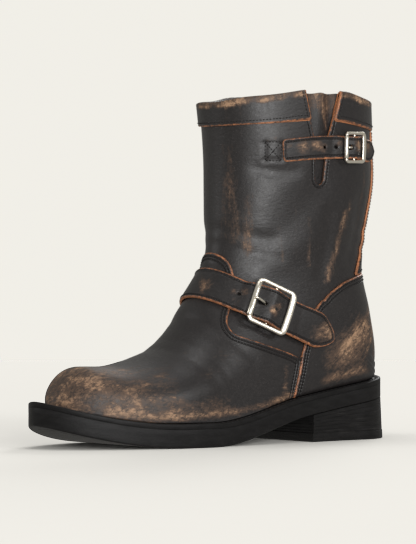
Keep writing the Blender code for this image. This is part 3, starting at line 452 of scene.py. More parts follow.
def split(rows, faces, level, keep_below=True):
    """Cut faces along the line where the third number of their corners' rows has this level."""
    height = rows[:, 2] - level
    height[np.abs(height) < 0.04] = 0.0
    sign, height = np.sign(height).astype(int).tolist(), height.tolist()
    new_rows, crossing, kept = [], {}, []
    for face in faces:
        signs = [sign[i] for i in face]
        if min(signs) >= 0 and max(signs) > 0:
            kept.append(face)
        elif max(signs) <= 0:
            if keep_below:
                kept.append(face)
        else:
            above, below = [], []
            for a, b in zip(face, face[1:] + face[:1]):
                if sign[a] >= 0:
                    above.append(a)
                if sign[a] <= 0:
                    below.append(a)
                if sign[a] * sign[b] < 0:
                    key = (min(a, b), max(a, b))
                    if key not in crossing:
                        t = height[a] / (height[a] - height[b])
                        crossing[key] = len(rows) + len(new_rows)
                        new_rows.append(rows[a] + (rows[b] - rows[a]) * t)
                        new_rows[-1][2] = level
                    above.append(crossing[key])
                    below.append(crossing[key])
            kept.append(above)
            if keep_below:
                kept.append(below)
    rows = np.vstack([rows] + new_rows) if new_rows else rows
    return rows, [face for face in kept if len(face) > 2]


def open_edges(faces):
    """Edges that only one face has, in that face's order."""
    once = {}
    for face in faces:
        for a, b in zip(face, face[1:] + face[:1]):
            if (b, a) in once:
                del once[b, a]
            else:
                once[a, b] = True
    return list(once)


def chains(edges):
    """Edges put in order, as runs of corners."""
    following = dict(edges)
    starts = [a for a in following if a not in set(following.values())]
    runs, used = [], set()
    for start in starts + list(following):
        if start in used:
            continue
        run, at = [start], start
        used.add(start)
        while at in following:
            at = following[at]
            run.append(at)
            if at in used:
                break
            used.add(at)
        runs.append(run)
    return runs


class Sheet:
    """A piece of leather, cut from a grid along its field's zero line, with its edges worked."""

    def __init__(self, first, second, surface, layer, field, chamfer=0.6):
        self.surface, self.layer, self.field = surface, layer, field
        a, b = np.meshgrid(first, second)
        rows = np.stack([a.ravel(), b.ravel(), field(a.ravel(), b.ravel())], 1)
        wide = len(first)
        faces = [[i * wide + j, i * wide + j + 1, (i + 1) * wide + j + 1, (i + 1) * wide + j]
                 for i in range(len(second) - 1) for j in range(wide - 1)]
        rows, faces = split(rows, faces, chamfer)
        rows, faces = split(rows, faces, 0.0, keep_below=False)
        used = sorted({i for face in faces for i in face})
        again = {old: new for new, old in enumerate(used)}
        faces = [[again[i] for i in face] for face in faces]
        self.rows = rows[used]
        depth = np.clip(self.rows[:, 2] / chamfer, 0, 1)
        top = surface(self.rows[:, 0], self.rows[:, 1], layer[1] - chamfer * 0.8 * (1 - depth))
        self.merge(top, faces)

    def merge(self, top, faces):
        """Share the corners that lie in one place, as at the toe and along the back seam."""
        _, first, again = np.unique(np.round(top, 6), axis=0, return_index=True, return_inverse=True)
        again = np.ravel(again)
        self.rows, self.top = self.rows[first], top[first]
        self.faces = []
        for face in faces:
            corners = list(dict.fromkeys(int(again[i]) for i in face))
            if len(corners) > 2:
                self.faces.append(corners)
        a, b, c = (self.top[[face[k] for face in self.faces]] for k in range(3))
        up = self.surface(self.rows[:, 0], self.rows[:, 1], self.layer[1] + 0.5) - self.top
        if (np.cross(b - a, c - a) * up[[face[0] for face in self.faces]]).sum() < 0:
            self.faces = [face[::-1] for face in self.faces]

    def cut_runs(self):
        """The cut edges, each as its corners in order, and its length."""
        edges = [(a, b) for a, b in open_edges(self.faces)
                 if abs(self.rows[a, 2]) < 0.05 and abs(self.rows[b, 2]) < 0.05]
        runs = []
        for run in chains(edges):
            over_back = np.flatnonzero(np.abs(np.diff(self.rows[run, 0])) > 1.2) + 1
            runs += [list(part) for part in np.split(np.array(run), over_back) if len(part) > 3]
        return [(run, np.linalg.norm(np.diff(self.top[run], axis=0), axis=1).sum() / MM) for run in runs]

    def cut_lines(self):
        """The rows of every cut edge but the small holes' edges."""
        return [self.rows[run] for run, length in self.cut_runs() if length > HOLE_EDGE]

    def to_edge(self):
        """Distance in millimetres from every corner to the nearest cut edge."""
        samples = [self.surface(*resampled(line, 1.0, self.surface)[:, :2].T, self.layer[1])
                   for line in self.cut_lines()]
        far = np.full(len(self.rows), 20.0)
        if samples:
            samples = np.vstack(samples)
            tree = KDTree(len(samples))
            for i, point in enumerate(samples):
                tree.insert(point, i)
            tree.balance()
            near = np.array([tree.find(point)[2] for point in self.top]) / MM
            far = np.minimum(near, 20.0)
        return far

    def build(self, name, materials, wear_and_shade, backed=False):
        """Make the piece's mesh: its face, its cut edges and, if backed, its other face."""
        low = self.surface(self.rows[:, 0], self.rows[:, 1], self.layer[0])
        edges = open_edges(self.faces)
        count = len(self.top)
        faces = list(self.faces)
        slots = [0] * len(faces)
        if backed:
            faces += [[i + count for i in reversed(face)] for face in self.faces]
            slots += [2] * len(self.faces)
        faces += [[b, a, a + count, b + count] for a, b in edges]
        # The small holes' walls take the black leather instead of the raw edge, as painted shade inside the holes.
        in_hole = {i for run, length in self.cut_runs() if length <= HOLE_EDGE for i in run}
        slots += [0 if a in in_hole else 1 for a, b in edges]
        numbers = {"edge": np.tile(self.to_edge(), 2), "wear_and_shade": np.tile(wear_and_shade(self.rows[:, 0], self.rows[:, 1]), 2)}
        return piece(name, np.vstack([self.top, low]), faces, materials, slots, numbers)


def resampled(line, spacing, surface):
    """Rows along a line, an even distance apart on its surface, and smoothed."""
    points = surface(line[:, 0], line[:, 1], 0.0) / MM
    keep = np.concatenate([[True], np.linalg.norm(np.diff(points, axis=0), axis=1) > 1e-4])
    line, points = line[keep], points[keep]
    if len(line) < 2:
        return line
    far = np.concatenate([[0], np.cumsum(np.linalg.norm(np.diff(points, axis=0), axis=1))])
    fine = np.linspace(0, far[-1], max(int(far[-1] / 0.5), 2) + 1)
    a, b = np.interp(fine, far, line[:, 0]), np.interp(fine, far, line[:, 1])
    kernel = np.hanning(9) / np.hanning(9).sum()
    if len(fine) > 12:
        a, b = (np.convolve(np.pad(k, 4, mode="reflect", reflect_type="odd"), kernel, "valid") for k in (a, b))
    steps = np.linspace(0, far[-1], max(int(round(far[-1] / spacing)), 1) + 1)
    return np.stack([np.interp(steps, fine, a), np.interp(steps, fine, b)], 1)


def piece(name, points, faces, materials, slots=None, numbers=None, sharp=38):
    """A named mesh with its materials, riding on the boot's body. Loose corners are dropped."""
    points = np.asarray(points, float)
    mesh = bpy.data.meshes.new(name)
    mesh.from_pydata(points.tolist(), [], faces)
    for label, values in (numbers or {}).items():
        layer = mesh.attributes.new(label, "FLOAT", "POINT")
        layer.data.foreach_set("value", np.asarray(values, np.float32))
    for material in materials:
        mesh.materials.append(material)
    if slots is not None:
        mesh.polygons.foreach_set("material_index", np.asarray(slots, np.int32))
    bm = bmesh.new()
    bm.from_mesh(mesh)
    bmesh.ops.delete(bm, geom=[v for v in bm.verts if not v.link_faces], context="VERTS")
    bm.to_mesh(mesh)
    bm.free()
    mesh.shade_smooth()
    mesh.set_sharp_from_angle(angle=np.radians(sharp))
    thing = bpy.data.objects.new(name, mesh)
    bpy.context.scene.collection.objects.link(thing)
    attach(thing, "root")
    return thing


def ring_faces(rings, count, close_rings=False, start=0):
    """Faces between rings of points that lie one after another."""
    faces = []
    for i in range(rings if close_rings else rings - 1):
        for j in range(count):
            a, b = start + i * count + j, start + i * count + (j + 1) % count
            c, d = start + (i + 1) % rings * count + (j + 1) % count, start + (i + 1) % rings * count + j
            faces.append([a, b, c, d])
    return faces


class Wire:
    """A value on its way through a material's nodes. Arithmetic on it adds Math nodes."""

    def __init__(self, board, socket):
        self.board, self.socket = board, socket

    def math(self, operation, *values):
        return self.board.add("ShaderNodeMath", {"operation": operation}, dict(enumerate(values)))

    def __add__(self, other):
        return self.math("ADD", self, other)

    def __sub__(self, other):
        return self.math("SUBTRACT", self, other)

    def __rsub__(self, other):
        return self.math("SUBTRACT", other, self)

    def __mul__(self, other):
        return self.math("MULTIPLY", self, other)

    __radd__, __rmul__ = __add__, __mul__

    def between(self, low, high):
        """0 below low and 1 above high, smoothly; high may be the lower one."""
        settings = {"interpolation_type": "SMOOTHSTEP", "clamp": True}
        if low < high:
            return self.board.add("ShaderNodeMapRange", settings, {"Value": self, 1: low, 2: high})
        return 1 - self.board.add("ShaderNodeMapRange", settings, {"Value": self, 1: high, 2: low})

    def bump_at(self, centre, width):
        """1 at the centre, falling to 0 at this distance from it."""
        return self.math("ABSOLUTE", self - centre).between(width, 0.0)


class Board:
    """A material's nodes."""

    def __init__(self, name):
        self.material = bpy.data.materials.new(name)
        self.material.use_nodes = True
        self.tree = self.material.node_tree
        self.shader = self.tree.nodes["Principled BSDF"]

    def add(self, kind, settings, values=None, output=0):
        """A node of this type with its settings, and values or links for its sockets."""
        node = self.tree.nodes.new(kind)
        for label, setting in settings.items():
            setattr(node, label, setting)
        self.feed(node, values or {})
        return Wire(self, node.outputs[output])

    def feed(self, node, values):
        for label, value in values.items():
            socket = node.inputs[label]
            if isinstance(value, Wire):
                self.tree.links.new(value.socket, socket)
            elif isinstance(value, (int, float)):
                socket.default_value = value
            else:
                value = tuple(value)
                wanted = len(socket.default_value)
                socket.default_value = value + (1.0,) if wanted == len(value) + 1 else value[:wanted]

    def blend(self, factor, first, second):
        """Mix of two colours."""
        settings = {"data_type": "RGBA", "clamp_factor": True}
        return self.add("ShaderNodeMix", settings, {0: factor, 6: first, 7: second}, 2)

    def where(self, stretch=(1, 1, 1), turn=(0, 0, 0)):
        """The place on the piece in metres, for a pattern drawn out along turned axes."""
        here = self.add("ShaderNodeTexCoord", {}, {}, "Object")
        values = {"Vector": here, "Scale": stretch, "Rotation": turn}
        return self.add("ShaderNodeMapping", {"vector_type": "TEXTURE"}, values)

    def noise(self, where, scale, detail=3.0, rough=0.55, seed=0.0, warp=0.0):
        values = {"Vector": where, "W": seed, "Scale": scale, "Detail": detail, "Roughness": rough,
                  "Distortion": warp}
        return self.add("ShaderNodeTexNoise", {"noise_dimensions": "4D"}, values, "Fac")

    def cells(self, where, scale, feature="F1"):
        return self.add("ShaderNodeTexVoronoi", {"feature": feature}, {"Vector": where, "Scale": scale}, 0)

    def number(self, label):
        return self.add("ShaderNodeAttribute", {"attribute_name": label}, {}, "Fac")

    def relief(self, height, distance, strength=1.0):
        values = {"Height": height, "Distance": distance, "Strength": strength}
        return self.add("ShaderNodeBump", {}, values, "Normal")

    def finish(self, **values):
        """Set the shader's own sockets and return the material."""
        self.feed(self.shader, {label.replace("_", " ").title().replace("Ior", "IOR"): value
                                for label, value in values.items()})
        return self.material


def colours():
    return bpy.context.scene.boot_colours


def sizes():
    return bpy.context.scene.boot_sizes


def leather(name, seed=0.0, seams=(), rim=1.0, stretch=(1, 1, 7), turn=(0.12, 0, 0), base=0.0):
    """Black leather over brown: pebbled, rubbed through along its strokes, pale at its cut edges, with painted
    shade along its seams and in small near-black spots.
    """
    hue, board = colours(), Board(name)
    here, drawn = board.where(), board.where(stretch, turn)
    streak = board.noise(drawn, 560.0, 5.0, 0.66, seed)
    fleck = board.noise(here, 330.0, 6.0, 0.72, seed + 3.0, 0.35)
    broad = board.noise(drawn, 110.0, 3.0, 0.55, seed + 7.0)
    fine = board.noise(here, 620.0, 4.0, 0.65, seed + 5.0)
    edge, mark = board.number("edge"), board.number("wear_and_shade")
    worn = mark.math("MAXIMUM", mark, 0.0) + broad.between(0.52, 0.78) * 0.22 + base
    mottle = (streak - 0.5) * 2.7 + (fleck - 0.5) * 2.4 + (broad - 0.5) * 2.2
    brown = (worn * 1.45 - 0.34 + mottle * 0.42).between(0.04, 0.74)
    tan = (worn * 1.35 - 0.66 + mottle * 0.62).between(0.16, 0.86)
    rimmed = (edge + (fleck - 0.5) * 2.6).between(1.15 * rim, 0.15)
    base = board.blend(fine.between(0.35, 0.7), hue.black, hue.charcoal)
    colour = board.blend(brown * 0.86, base, hue.brown)
    colour = board.blend(tan * 0.92, colour, hue.tan)
    colour = board.blend(rimmed * (0.45 + fine * 0.8), colour, hue.raw_edge)
    # Painted shade: below zero the wear_and_shade number turns the leather near black, a dark spot standing for
    # the shade in a small hole and at the slit's foot.
    painted_hole_shade = mark.between(-0.15, -0.6)
    colour = board.blend(painted_hole_shade, colour, (0.003, 0.003, 0.003))
    scratch = board.noise(board.where((1, 2.4, 1), (0.5, 0.2, 0)), 230.0, 6.0, 0.62, seed + 11.0)
    colour = board.blend(scratch.bump_at(0.47, 0.035) * 0.8, colour, hue.black)
    # Along each seam row the groove sinks the bump, and its colour is darkened as painted shade in the groove.
    seam_groove_and_shade = 0.0
    for row in seams:
        seam_groove_and_shade = edge.bump_at(row, 0.95) + seam_groove_and_shade
    if seams:
        colour = board.blend(seam_groove_and_shade * 0.5, colour, (0.006, 0.005, 0.005))
    pebble = board.cells(board.where(), sizes().grain_cells, "SMOOTH_F1")
    crease = board.noise(board.where((2.6, 2.6, 1), (0.1, 0, 0)), 560.0, 3.0, 0.55, seed + 9.0)
    height = pebble * 0.18 + fine * 0.36 + crease * 0.58
    if seams:
        height = height - seam_groove_and_shade * 1.7
    gloss = 0.46 + brown * 0.14 + (fleck - 0.5) * 0.34 + (fine - 0.5) * 0.20
    return board.finish(base_color=colour, roughness=gloss, normal=board.relief(height, 0.00034, 0.85),
                        specular_ior_level=0.40, coat_weight=(1 - brown) * 0.06, coat_roughness=0.34)


def raw_edge(name, seed=0.0, dark_below=0.0):
    """The cut edge of a hide: fibres of orange brown, dirty in places."""
    hue, board = colours(), Board(name)
    here = board.where()
    fibre = board.noise(here, 900.0, 4.0, 0.7, seed)
    dirt = board.noise(here, 150.0, 5.0, 0.66, seed + 2.0).between(0.46, 0.66)
    colour = board.blend(fibre.between(0.3, 0.6), [c * 0.7 for c in hue.raw_edge], hue.raw_edge)
    colour = board.blend(fibre.between(0.55, 0.75) * 0.4, colour, hue.tan)
    colour = board.blend(dirt * 0.5, colour, [c * 0.6 for c in hue.brown])
    if dark_below:
        height = board.add("ShaderNodeSeparateXYZ", {}, {"Vector": here}, "Z")
        low = height.between(dark_below + 0.006, dark_below - 0.004)
        colour = board.blend(low * 0.85, colour, [c * 0.35 for c in hue.brown])
    return board.finish(base_color=colour, roughness=0.62 + fibre * 0.2, normal=board.relief(fibre, 0.0003))


def lining(name):
    """The flesh side and lining of the shaft: matt brown leather with a soft nap."""
    hue, board = colours(), Board(name)
    here = board.where()
    nap = board.noise(here, 700.0, 5.0, 0.7)
    stain = board.noise(here, 30.0, 4.0, 0.6, 4.0)
    colour = board.blend(stain.between(0.3, 0.7), hue.lining, [c * 0.55 for c in hue.lining])
    colour = board.blend(nap * 0.35, colour, [c * 1.3 for c in hue.lining])
    return board.finish(base_color=colour, roughness=0.72 + nap * 0.15, normal=board.relief(nap, 0.0003))


def thread(name):
    """Waxed black thread, laid from strands."""
    hue, board = colours(), Board(name)
    strand = board.noise(board.where(), 1500.0, 2.0, 0.5)
    colour = board.blend(strand, hue.thread, [c * 2.2 for c in hue.thread])
    return board.finish(base_color=colour, roughness=0.62 + strand * 0.2, normal=board.relief(strand, 0.0002),
                        specular_ior_level=0.2)


def rubber(name, lined=0.0, ribbed=False):
    """Black sole stock: satin, with a fine milled texture, scuffs and, on the heel, level lines."""
    hue, board = colours(), Board(name)
    here = board.where()
    fine = board.noise(here, 800.0, 4.0, 0.65)
    scuff = board.noise(board.where((3, 3, 1)), 260.0, 6.0, 0.7, 2.0, 0.5)
    dust = board.noise(here, 240.0, 6.0, 0.75, 5.0).between(0.62, 0.86)
    colour = board.blend(scuff.between(0.35, 0.75), hue.rubber, [c * 1.9 for c in hue.rubber])
    colour = board.blend(dust * 0.35, colour, (0.06, 0.055, 0.05))
    height = fine * 0.6 + scuff * 0.5
    if lined:
        level = board.noise(board.where((25, 25, 1)), 900.0, 3.0, 0.6, 1.0)
        height = height + level * lined
        colour = board.blend(level.between(0.55, 0.8) * 0.4, colour, (0.045, 0.042, 0.04))
    if ribbed:
        tread = board.number("tread")
        rib = board.add("ShaderNodeTexWave", {"bands_direction": "Y", "wave_profile": "SIN"},
                        {"Vector": here, "Scale": 62.0, "Distortion": 0.0}, 1).between(0.25, 0.45)
        height = height + rib * tread * 4.0
        colour = board.blend(tread * (1 - rib) * 0.6, colour, (0.03, 0.028, 0.026))
    gloss = 0.40 + fine * 0.16 + dust * 0.2
    return board.finish(base_color=colour, roughness=gloss, specular_ior_level=0.14,
                        normal=board.relief(height, 0.0003, 0.8))


def nickel(name):
    """Warm polished nickel with fine scratches, duller in places."""
    hue, board = colours(), Board(name)
    here = board.where()
    scratch = board.noise(board.where((1, 1, 6), (0.4, 0.3, 0.8)), 900.0, 5.0, 0.7)
    dull = board.noise(here, 160.0, 4.0, 0.6, 3.0).between(0.45, 0.75)
    colour = board.blend(dull * 0.45, hue.metal, hue.metal_dull)
    gloss = 0.24 + dull * 0.14 + scratch * 0.12
    return board.finish(base_color=colour, metallic=1.0, roughness=gloss,
                        normal=board.relief(scratch, 0.00006, 0.7))


def sewn_rows(sheet, offsets, keep):
    """Stitches beside a sheet's cut edges, at these distances from them: their two ends and their normal."""
    pitch, stitches = sizes().stitch / MM, []
    for line in sheet.cut_lines():
        fine = resampled(line, 1.0, last_surface)
        if len(fine) < 8:
            continue
        u, v = fine.T
        point = last(u, v)
        tangent = np.gradient(point, axis=0)
        h = 0.004
        normal = np.cross(last(u + h, v) - last(u - h, v), last(u, v + h) - last(u, v - h))
        across = np.cross(normal, tangent)
        middle = slice(len(u) // 3, len(u) // 3 + 5)
        trial = walk(u[middle], v[middle], across[middle], np.full(5, 1.0))
        if sheet.field(*trial).mean() < 0:
            across = -across
        for offset in offsets:
            row_u, row_v = walk(u, v, across, np.full(len(u), float(offset)))
            good = keep(row_u, row_v)
            for run in np.split(np.arange(len(u)), np.flatnonzero(np.diff(good.astype(int))) + 1):
                if good[run[0]] and len(run) > 4:
                    stitches.append(stitch_line(row_u[run], row_v[run], sheet.layer[1], pitch))
    return stitches


def last_surface(u, v, layer):
    return place(last(u, v, layer))


def stitch_line(u, v, layer, pitch, surface=None):
    """Stitches along a line of columns and rows."""
    surface = surface or skin
    point = surface(u, v, layer) / MM
    far = np.concatenate([[0], np.cumsum(np.linalg.norm(np.diff(point, axis=0), axis=1))])
    count = max(int(far[-1] / pitch), 1)
    edges = np.linspace(0, far[-1], count + 1)
    start, end = edges[:-1] + 0.12 * pitch, edges[1:] - 0.12 * pitch
    ends = [(np.interp(at, far, u), np.interp(at, far, v)) for at in (start, end)]
    a, b = (surface(*end, layer) for end in ends)
    out = surface(*ends[0], layer + 0.6) - a
    return a, b, out / np.linalg.norm(out, axis=1, keepdims=True)


def stitching(name, stitches, material, radius=None):
    """Raised threads, one short bead a stitch, joined into one piece."""
    a, b, out = (np.vstack(part) for part in zip(*stitches))
    radius = radius or sizes().thread / 2
    along = b - a
    side = np.cross(along, out)
    side /= np.linalg.norm(side, axis=1, keepdims=True)
    bead = ((0.0, 0.35, -0.5), (0.16, 0.9, 0.25), (0.5, 1.0, 0.45), (0.84, 0.9, 0.25), (1.0, 0.35, -0.5))
    rings = []
    for share, width, lift in bead:
        centre = a + along * share + out * radius * lift
        for turn in np.arange(6) * np.pi / 3:
            rings.append(centre + (side * np.cos(turn) + out * np.sin(turn)) * radius * width)
    points = np.stack(rings, 1).reshape(-1, 3)
    faces, one = [], len(bead) * 6
    pattern = ring_faces(len(bead), 6) + [list(range(5, -1, -1)), [one - 6 + k for k in range(6)]]
    for i in range(len(a)):
        faces += [[i * one + k for k in face] for face in pattern]
    return piece(name, points, faces, [material], sharp=80)


def slit_outline(margin=0.0):
    """The slit's outline, a V with a rounded foot."""
    left = [(SLIT_AT + half + margin, z) for half, z in SLIT]
    right = [(SLIT_AT - half - margin, z) for half, z in reversed(SLIT)]
    radius = SLIT[-1][0] - 0.6 + margin
    centre = SLIT_FOOT + radius - margin
    foot = [(SLIT_AT + radius * np.cos(turn), centre - radius * np.sin(turn))
            for turn in np.linspace(0.1, np.pi - 0.1, 15)]
    return left + foot + right


def outside_slit(u, v, rise=0.0):
    """Distance to the slit, positive on the leather."""
    point = last(u, v)
    far = -inside(point[:, 1:] + [0, rise], slit_outline())
    return np.where((u < 0) & (u > -0.95), far, 20.0)


def cut_by(outline):
    """A field that keeps what lies inside an outline seen from the side."""
    outline = np.asarray(outline, float)
    return lambda u, v: inside(last(u, v)[:, 1:], outline)


def steps(*runs):
    """Grid lines: (from, to, how many), joined."""
    parts = [np.linspace(low, high, count, endpoint=False) for low, high, count in runs]
    return np.concatenate(parts + [[runs[-1][1]]])


def strap_rows(kind):
    """The row that a strap's middle line follows, from its column."""
    return {"instep": lambda u: 6.9 + 3.9 * u**2, "top": lambda u: 15.26 + 0.53 * np.abs(u)}[kind]


class Strap:
    """A strap's course: where it runs on the last, and how it passes through its buckle."""

    def __init__(self, kind):
        self.kind, self.size, self.row_at = kind, STRAPS[kind], strap_rows(kind)
        size = self.size
        self.u = np.linspace(0.85, -0.95, 721)
        points = last(self.u, self.row_at(self.u))
        far = np.concatenate([[0], np.cumsum(np.linalg.norm(np.diff(points, axis=0), axis=1))])
        self.t = far - np.interp(-size["bar_u"], -self.u, far)
        self.half, self.reach = size["width"] / 2, size["frame"][0] / 2
        self.over = size["under"] + CHAPE_THICK + GAP
        self.height = self.over + size["thick"] + GAP + size["rail_thick"] / 2
        self.bar_height = self.height - size["rail_thick"] / 2 + 0.2
        sewn_end = float(np.interp(-INSTEP_END, -self.u, self.t))
        self.start = sewn_end if size["start"] is None else size["start"]
        self.matrix = self.frame_at(0.0, self.height)
        self.axes, self.origin = np.array(self.matrix)[:3, :3] * MM, np.array(self.matrix)[:3, 3]

    def frame_at(self, far, height):
        """X along the strap to its tip, Y across it, Z out of the boot."""
        u, h = np.interp(far, self.t, self.u), 0.02
        origin = place(last(u, self.row_at(u), height))
        ahead, behind = (place(last(k, self.row_at(k), height)) for k in (u - h, u + h))
        du = place(last(u + h, self.row_at(u))) - place(last(u - h, self.row_at(u)))
        dv = place(last(u, self.row_at(u) + h)) - place(last(u, self.row_at(u) - h))
        out = Vector(np.cross(du, dv)).normalized()
        out = -out if out.x < 0 else out
        along = Vector(ahead - behind)
        along = (along - out * along.dot(out)).normalized()
        matrix = Matrix((along, out.cross(along), out)).transposed().to_4x4()
        matrix.translation = Vector(origin)
        return matrix

    def main_course(self):
        """(distance, height of its lower face, flatness) along the long strap."""
        size, reach, bar, over, low = self.size, self.reach, self.size["bar"], self.over, self.size["under"]
        front = self.height - size["roller"] - GAP - size["thick"] - 0.1
        hump = self.bar_height + bar + GAP
        shoulder = size["tip"] - size["tip_length"]
        course = [(self.start, low, 0.0), (-reach - 7, low, 0.0), (-reach - 2, front, 0.6),
                  (-reach + 2, front, 1.0), (-reach * 0.55, front + 0.35 * (hump - front), 1.0),
                  (-reach * 0.28, front + 0.8 * (hump - front), 1.0), (-bar, hump, 1.0), (bar, hump, 1.0),
                  (reach * 0.28, over + 0.7 * (hump - over), 1.0),
                  (reach * 0.55, over + 0.25 * (hump - over), 1.0), (reach - 3, over, 1.0),
                  (reach + 1, over, 0.8), (reach + 6, over, 0.0), (shoulder, over, 0.0),
                  (size["tip"], over - size["droop"] * 0.8, 0.0)]
        return np.array(course).T

    def chape_course(self):
        """The same along the chape, from under the middle bar to its sewn end."""
        size, bar, reach = self.size, self.size["bar"], self.reach
        under_bar = self.bar_height - bar - GAP - CHAPE_THICK
        course = [(0.2 - bar, under_bar, 1.0), (bar + 1.0, under_bar, 1.0),
                  (reach * 0.6, (size["under"] + under_bar) / 2, 0.6), (reach, size["under"], 0.0),
                  (size["chape"], size["under"], 0.0)]
        return np.array(course).T

    def surface(self, course, crown=0.25):
        """A function from (distance, place across, height above the lower face) to a point."""
        fine = np.arange(course[0][0] - 8, course[0][-1] + 8, 0.25)
        kernel = np.hanning(15) / np.hanning(15).sum()
        low, flat = (np.convolve(np.pad(np.interp(fine, course[0], k), 7, mode="edge"), kernel, "valid")
                     for k in course[1:])

        steps_t = np.arange(course[0][0] - 4, course[0][-1] + 4, 1.5)
        steps_y = np.linspace(-self.half, self.half, 15)
        u = np.interp(steps_t, self.t, self.u)
        v, d = self.row_at(u), 0.004
        along = last(u - d, self.row_at(u - d)) - last(u + d, self.row_at(u + d))
        normal = np.cross(last(u + d, v) - last(u - d, v), last(u, v + d) - last(u, v - d))
        grid = []
        for y in steps_y:
            lane = walk(u, v, np.cross(normal, along), np.full(len(u), -y), 24)
            foot = form(*lane)
            grid.append(np.concatenate([foot, form(*lane, 1.0) - foot], -1))
        grid = np.pad(np.stack(grid, 1), ((4, 4), (0, 0), (0, 0)), mode="reflect", reflect_type="odd")
        kernel = np.hanning(11)[1:-1] / np.hanning(11).sum()
        grid = sum(weight * grid[k:k + len(steps_t)] for k, weight in enumerate(kernel))

        def point(t, y, h):
            t, y, h = np.broadcast_arrays(*(np.asarray(k, float) for k in (t, y, h)))
            a = np.clip((t - steps_t[0]) / 1.5, 0, len(steps_t) - 1.001)
            b = np.clip((y + self.half) / (steps_y[1] - steps_y[0]), 0, len(steps_y) - 1.001)
            i, j = a.astype(int), b.astype(int)
            a, b = (a - i)[..., None], (b - j)[..., None]
            found = (grid[i, j] * (1 - b) + grid[i, j + 1] * b) * (1 - a)
            found = found + (grid[i + 1, j] * (1 - b) + grid[i + 1, j + 1] * b) * a
            lift = np.interp(t, fine, low) + h + crown * (1 - (y / self.half) ** 2)
            on_last = place(found[..., :3] + found[..., 3:] * lift[..., None])
            on_plane = np.stack([t, y, lift - self.height], -1) @ self.axes.T + self.origin
            return on_last + (on_plane - on_last) * np.interp(t, fine, flat)[..., None]

        return point

    def half_at(self, t):
        """Half width of the strap, which narrows toward its tip."""
        shoulder = self.size["tip"] - self.size["tip_length"]
        share = np.clip((t - shoulder) / self.size["tip_length"], 0, 1)
        return self.half * (1 - share**1.6) ** 0.75

    def outline(self):
        """Distances along the strap and half widths there, with a rounded root and tip."""
        tip, shoulder = self.size["tip"], self.size["tip"] - self.size["tip_length"]
        root = self.start + 2.6 * (1 - np.cos(np.linspace(0, np.pi / 2, 7)))
        t = np.concatenate([root, np.linspace(root[-1], shoulder, 30)[1:], tip - (tip - shoulder)
                            * (1 - np.sin(np.linspace(0, np.pi / 2, 24)))[1:]])
        corner = 2.6 - np.clip(t - self.start, 0, 2.6)
        return t, self.half_at(t) - 2.6 + np.sqrt(2.6**2 - corner**2)

    def field(self, t, y):
        """Distance to the strap's edge and holes, positive on the leather."""
        line_t, line_y = self.outline()
        outline = np.vstack([np.stack([line_t, line_y], 1), np.stack([line_t, -line_y], 1)[::-1]])
        far = inside(np.stack([t, y], 1), outline)
        slot, long = self.size["slot"]
        reach = long / 2 - HOLE
        near = np.hypot(np.clip(np.abs(t - slot) - reach, 0, None), y) - HOLE
        for hole in self.size["holes"]:
            near = np.minimum(near, np.hypot(t - hole, y) - 0.8 * HOLE)
        return np.minimum(far, near)

    def seam(self, offset):
        """Lines beside the strap's two edges, joined round its tip."""
        t, w = self.outline()
        upper = np.stack([t, w], 1)
        line = np.vstack([upper, upper[::-1] * [1, -1]])
        run = np.gradient(line, axis=0)
        run /= np.linalg.norm(run, axis=1, keepdims=True) + 1e-9
        inward = np.stack([run[:, 1], -run[:, 0]], 1)
        return line + inward * offset


def strap_wear_and_hole_shade(kind):
    """Rubbed places of a strap, by distance and place across; on the instep strap a painted dark spot stands for
    the shade in a hole.
    """

    def worn(t, y):
        left = 1.0
        for at, across, radius, strength in STRAP_SPOTS[kind]:
            left = left * (1 - strength * np.exp(-((t - at) ** 2 + (y - across) ** 2) / radius**2))
        # Painted shade: a near-black disc on the instep strap where a hole's inside would be dark.
        painted_shade_spot = np.exp(-(((t - 3.4) ** 2 + (y + 0.6) ** 2) / 0.9**2) ** 2) * (kind == "instep")
        return (0.10 + 0.90 * (1 - left)) * (1 - painted_shade_spot) - painted_shade_spot

    return worn


def tube(path, wide, thick, up, power=2.0, closed=False, sides=16):
    """Rings of a rounded section swept along a path; up is its thickness direction."""
    path = np.asarray(path, float)
    if closed:
        run = np.roll(path, -1, axis=0) - np.roll(path, 1, axis=0)
    else:
        run = np.gradient(path, axis=0)
    run /= np.linalg.norm(run, axis=1, keepdims=True)
    side = np.cross(run, np.broadcast_to(np.asarray(up, float), path.shape))
    side /= np.linalg.norm(side, axis=1, keepdims=True)
    rise = np.cross(side, run)
    turn = np.arange(sides) * 2 * np.pi / sides + np.pi / sides
    c, s = np.cos(turn), np.sin(turn)
    x, y = np.sign(c) * np.abs(c) ** (2 / power), np.sign(s) * np.abs(s) ** (2 / power)
    wide, thick = np.broadcast_to(wide, len(path)), np.broadcast_to(thick, len(path))
    out, over = (x * wide[:, None])[..., None], (y * thick[:, None])[..., None]
    rings = path[:, None] + side[:, None] * out + rise[:, None] * over
    faces = ring_faces(len(path), sides, closed)
    if not closed:
        faces += [list(range(sides - 1, -1, -1)), [(len(path) - 1) * sides + k for k in range(sides)]]
    return rings.reshape(-1, 3), faces


def joined(parts):
    """Points and faces of several shapes as one."""
    points, faces = [], []
    for more_points, more_faces in parts:
        base = sum(len(p) for p in points)
        points.append(more_points)
        faces += [[i + base for i in face] for face in more_faces]
    return np.vstack(points), faces


def rounded_frame(length, width, radius, corner=14, straight=12):
    """A closed path round a rectangle with rounded corners, evenly stepped."""
    points = []
    for quarter, (sx, sy) in enumerate(((1, 1), (-1, 1), (-1, -1), (1, -1))):
        centre = np.array([sx * (length / 2 - radius), sy * (width / 2 - radius)])
        arc = [centre + radius * np.array([np.cos(a), np.sin(a)])
               for a in np.linspace(quarter, quarter + 1, corner) * np.pi / 2]
        if points:
            gap = np.linspace(points[-1], arc[0], straight + 1)[1:-1]
            points += list(gap)
        points += arc
    points += list(np.linspace(points[-1], points[0], straight + 1)[1:-1])
    return np.array(points)


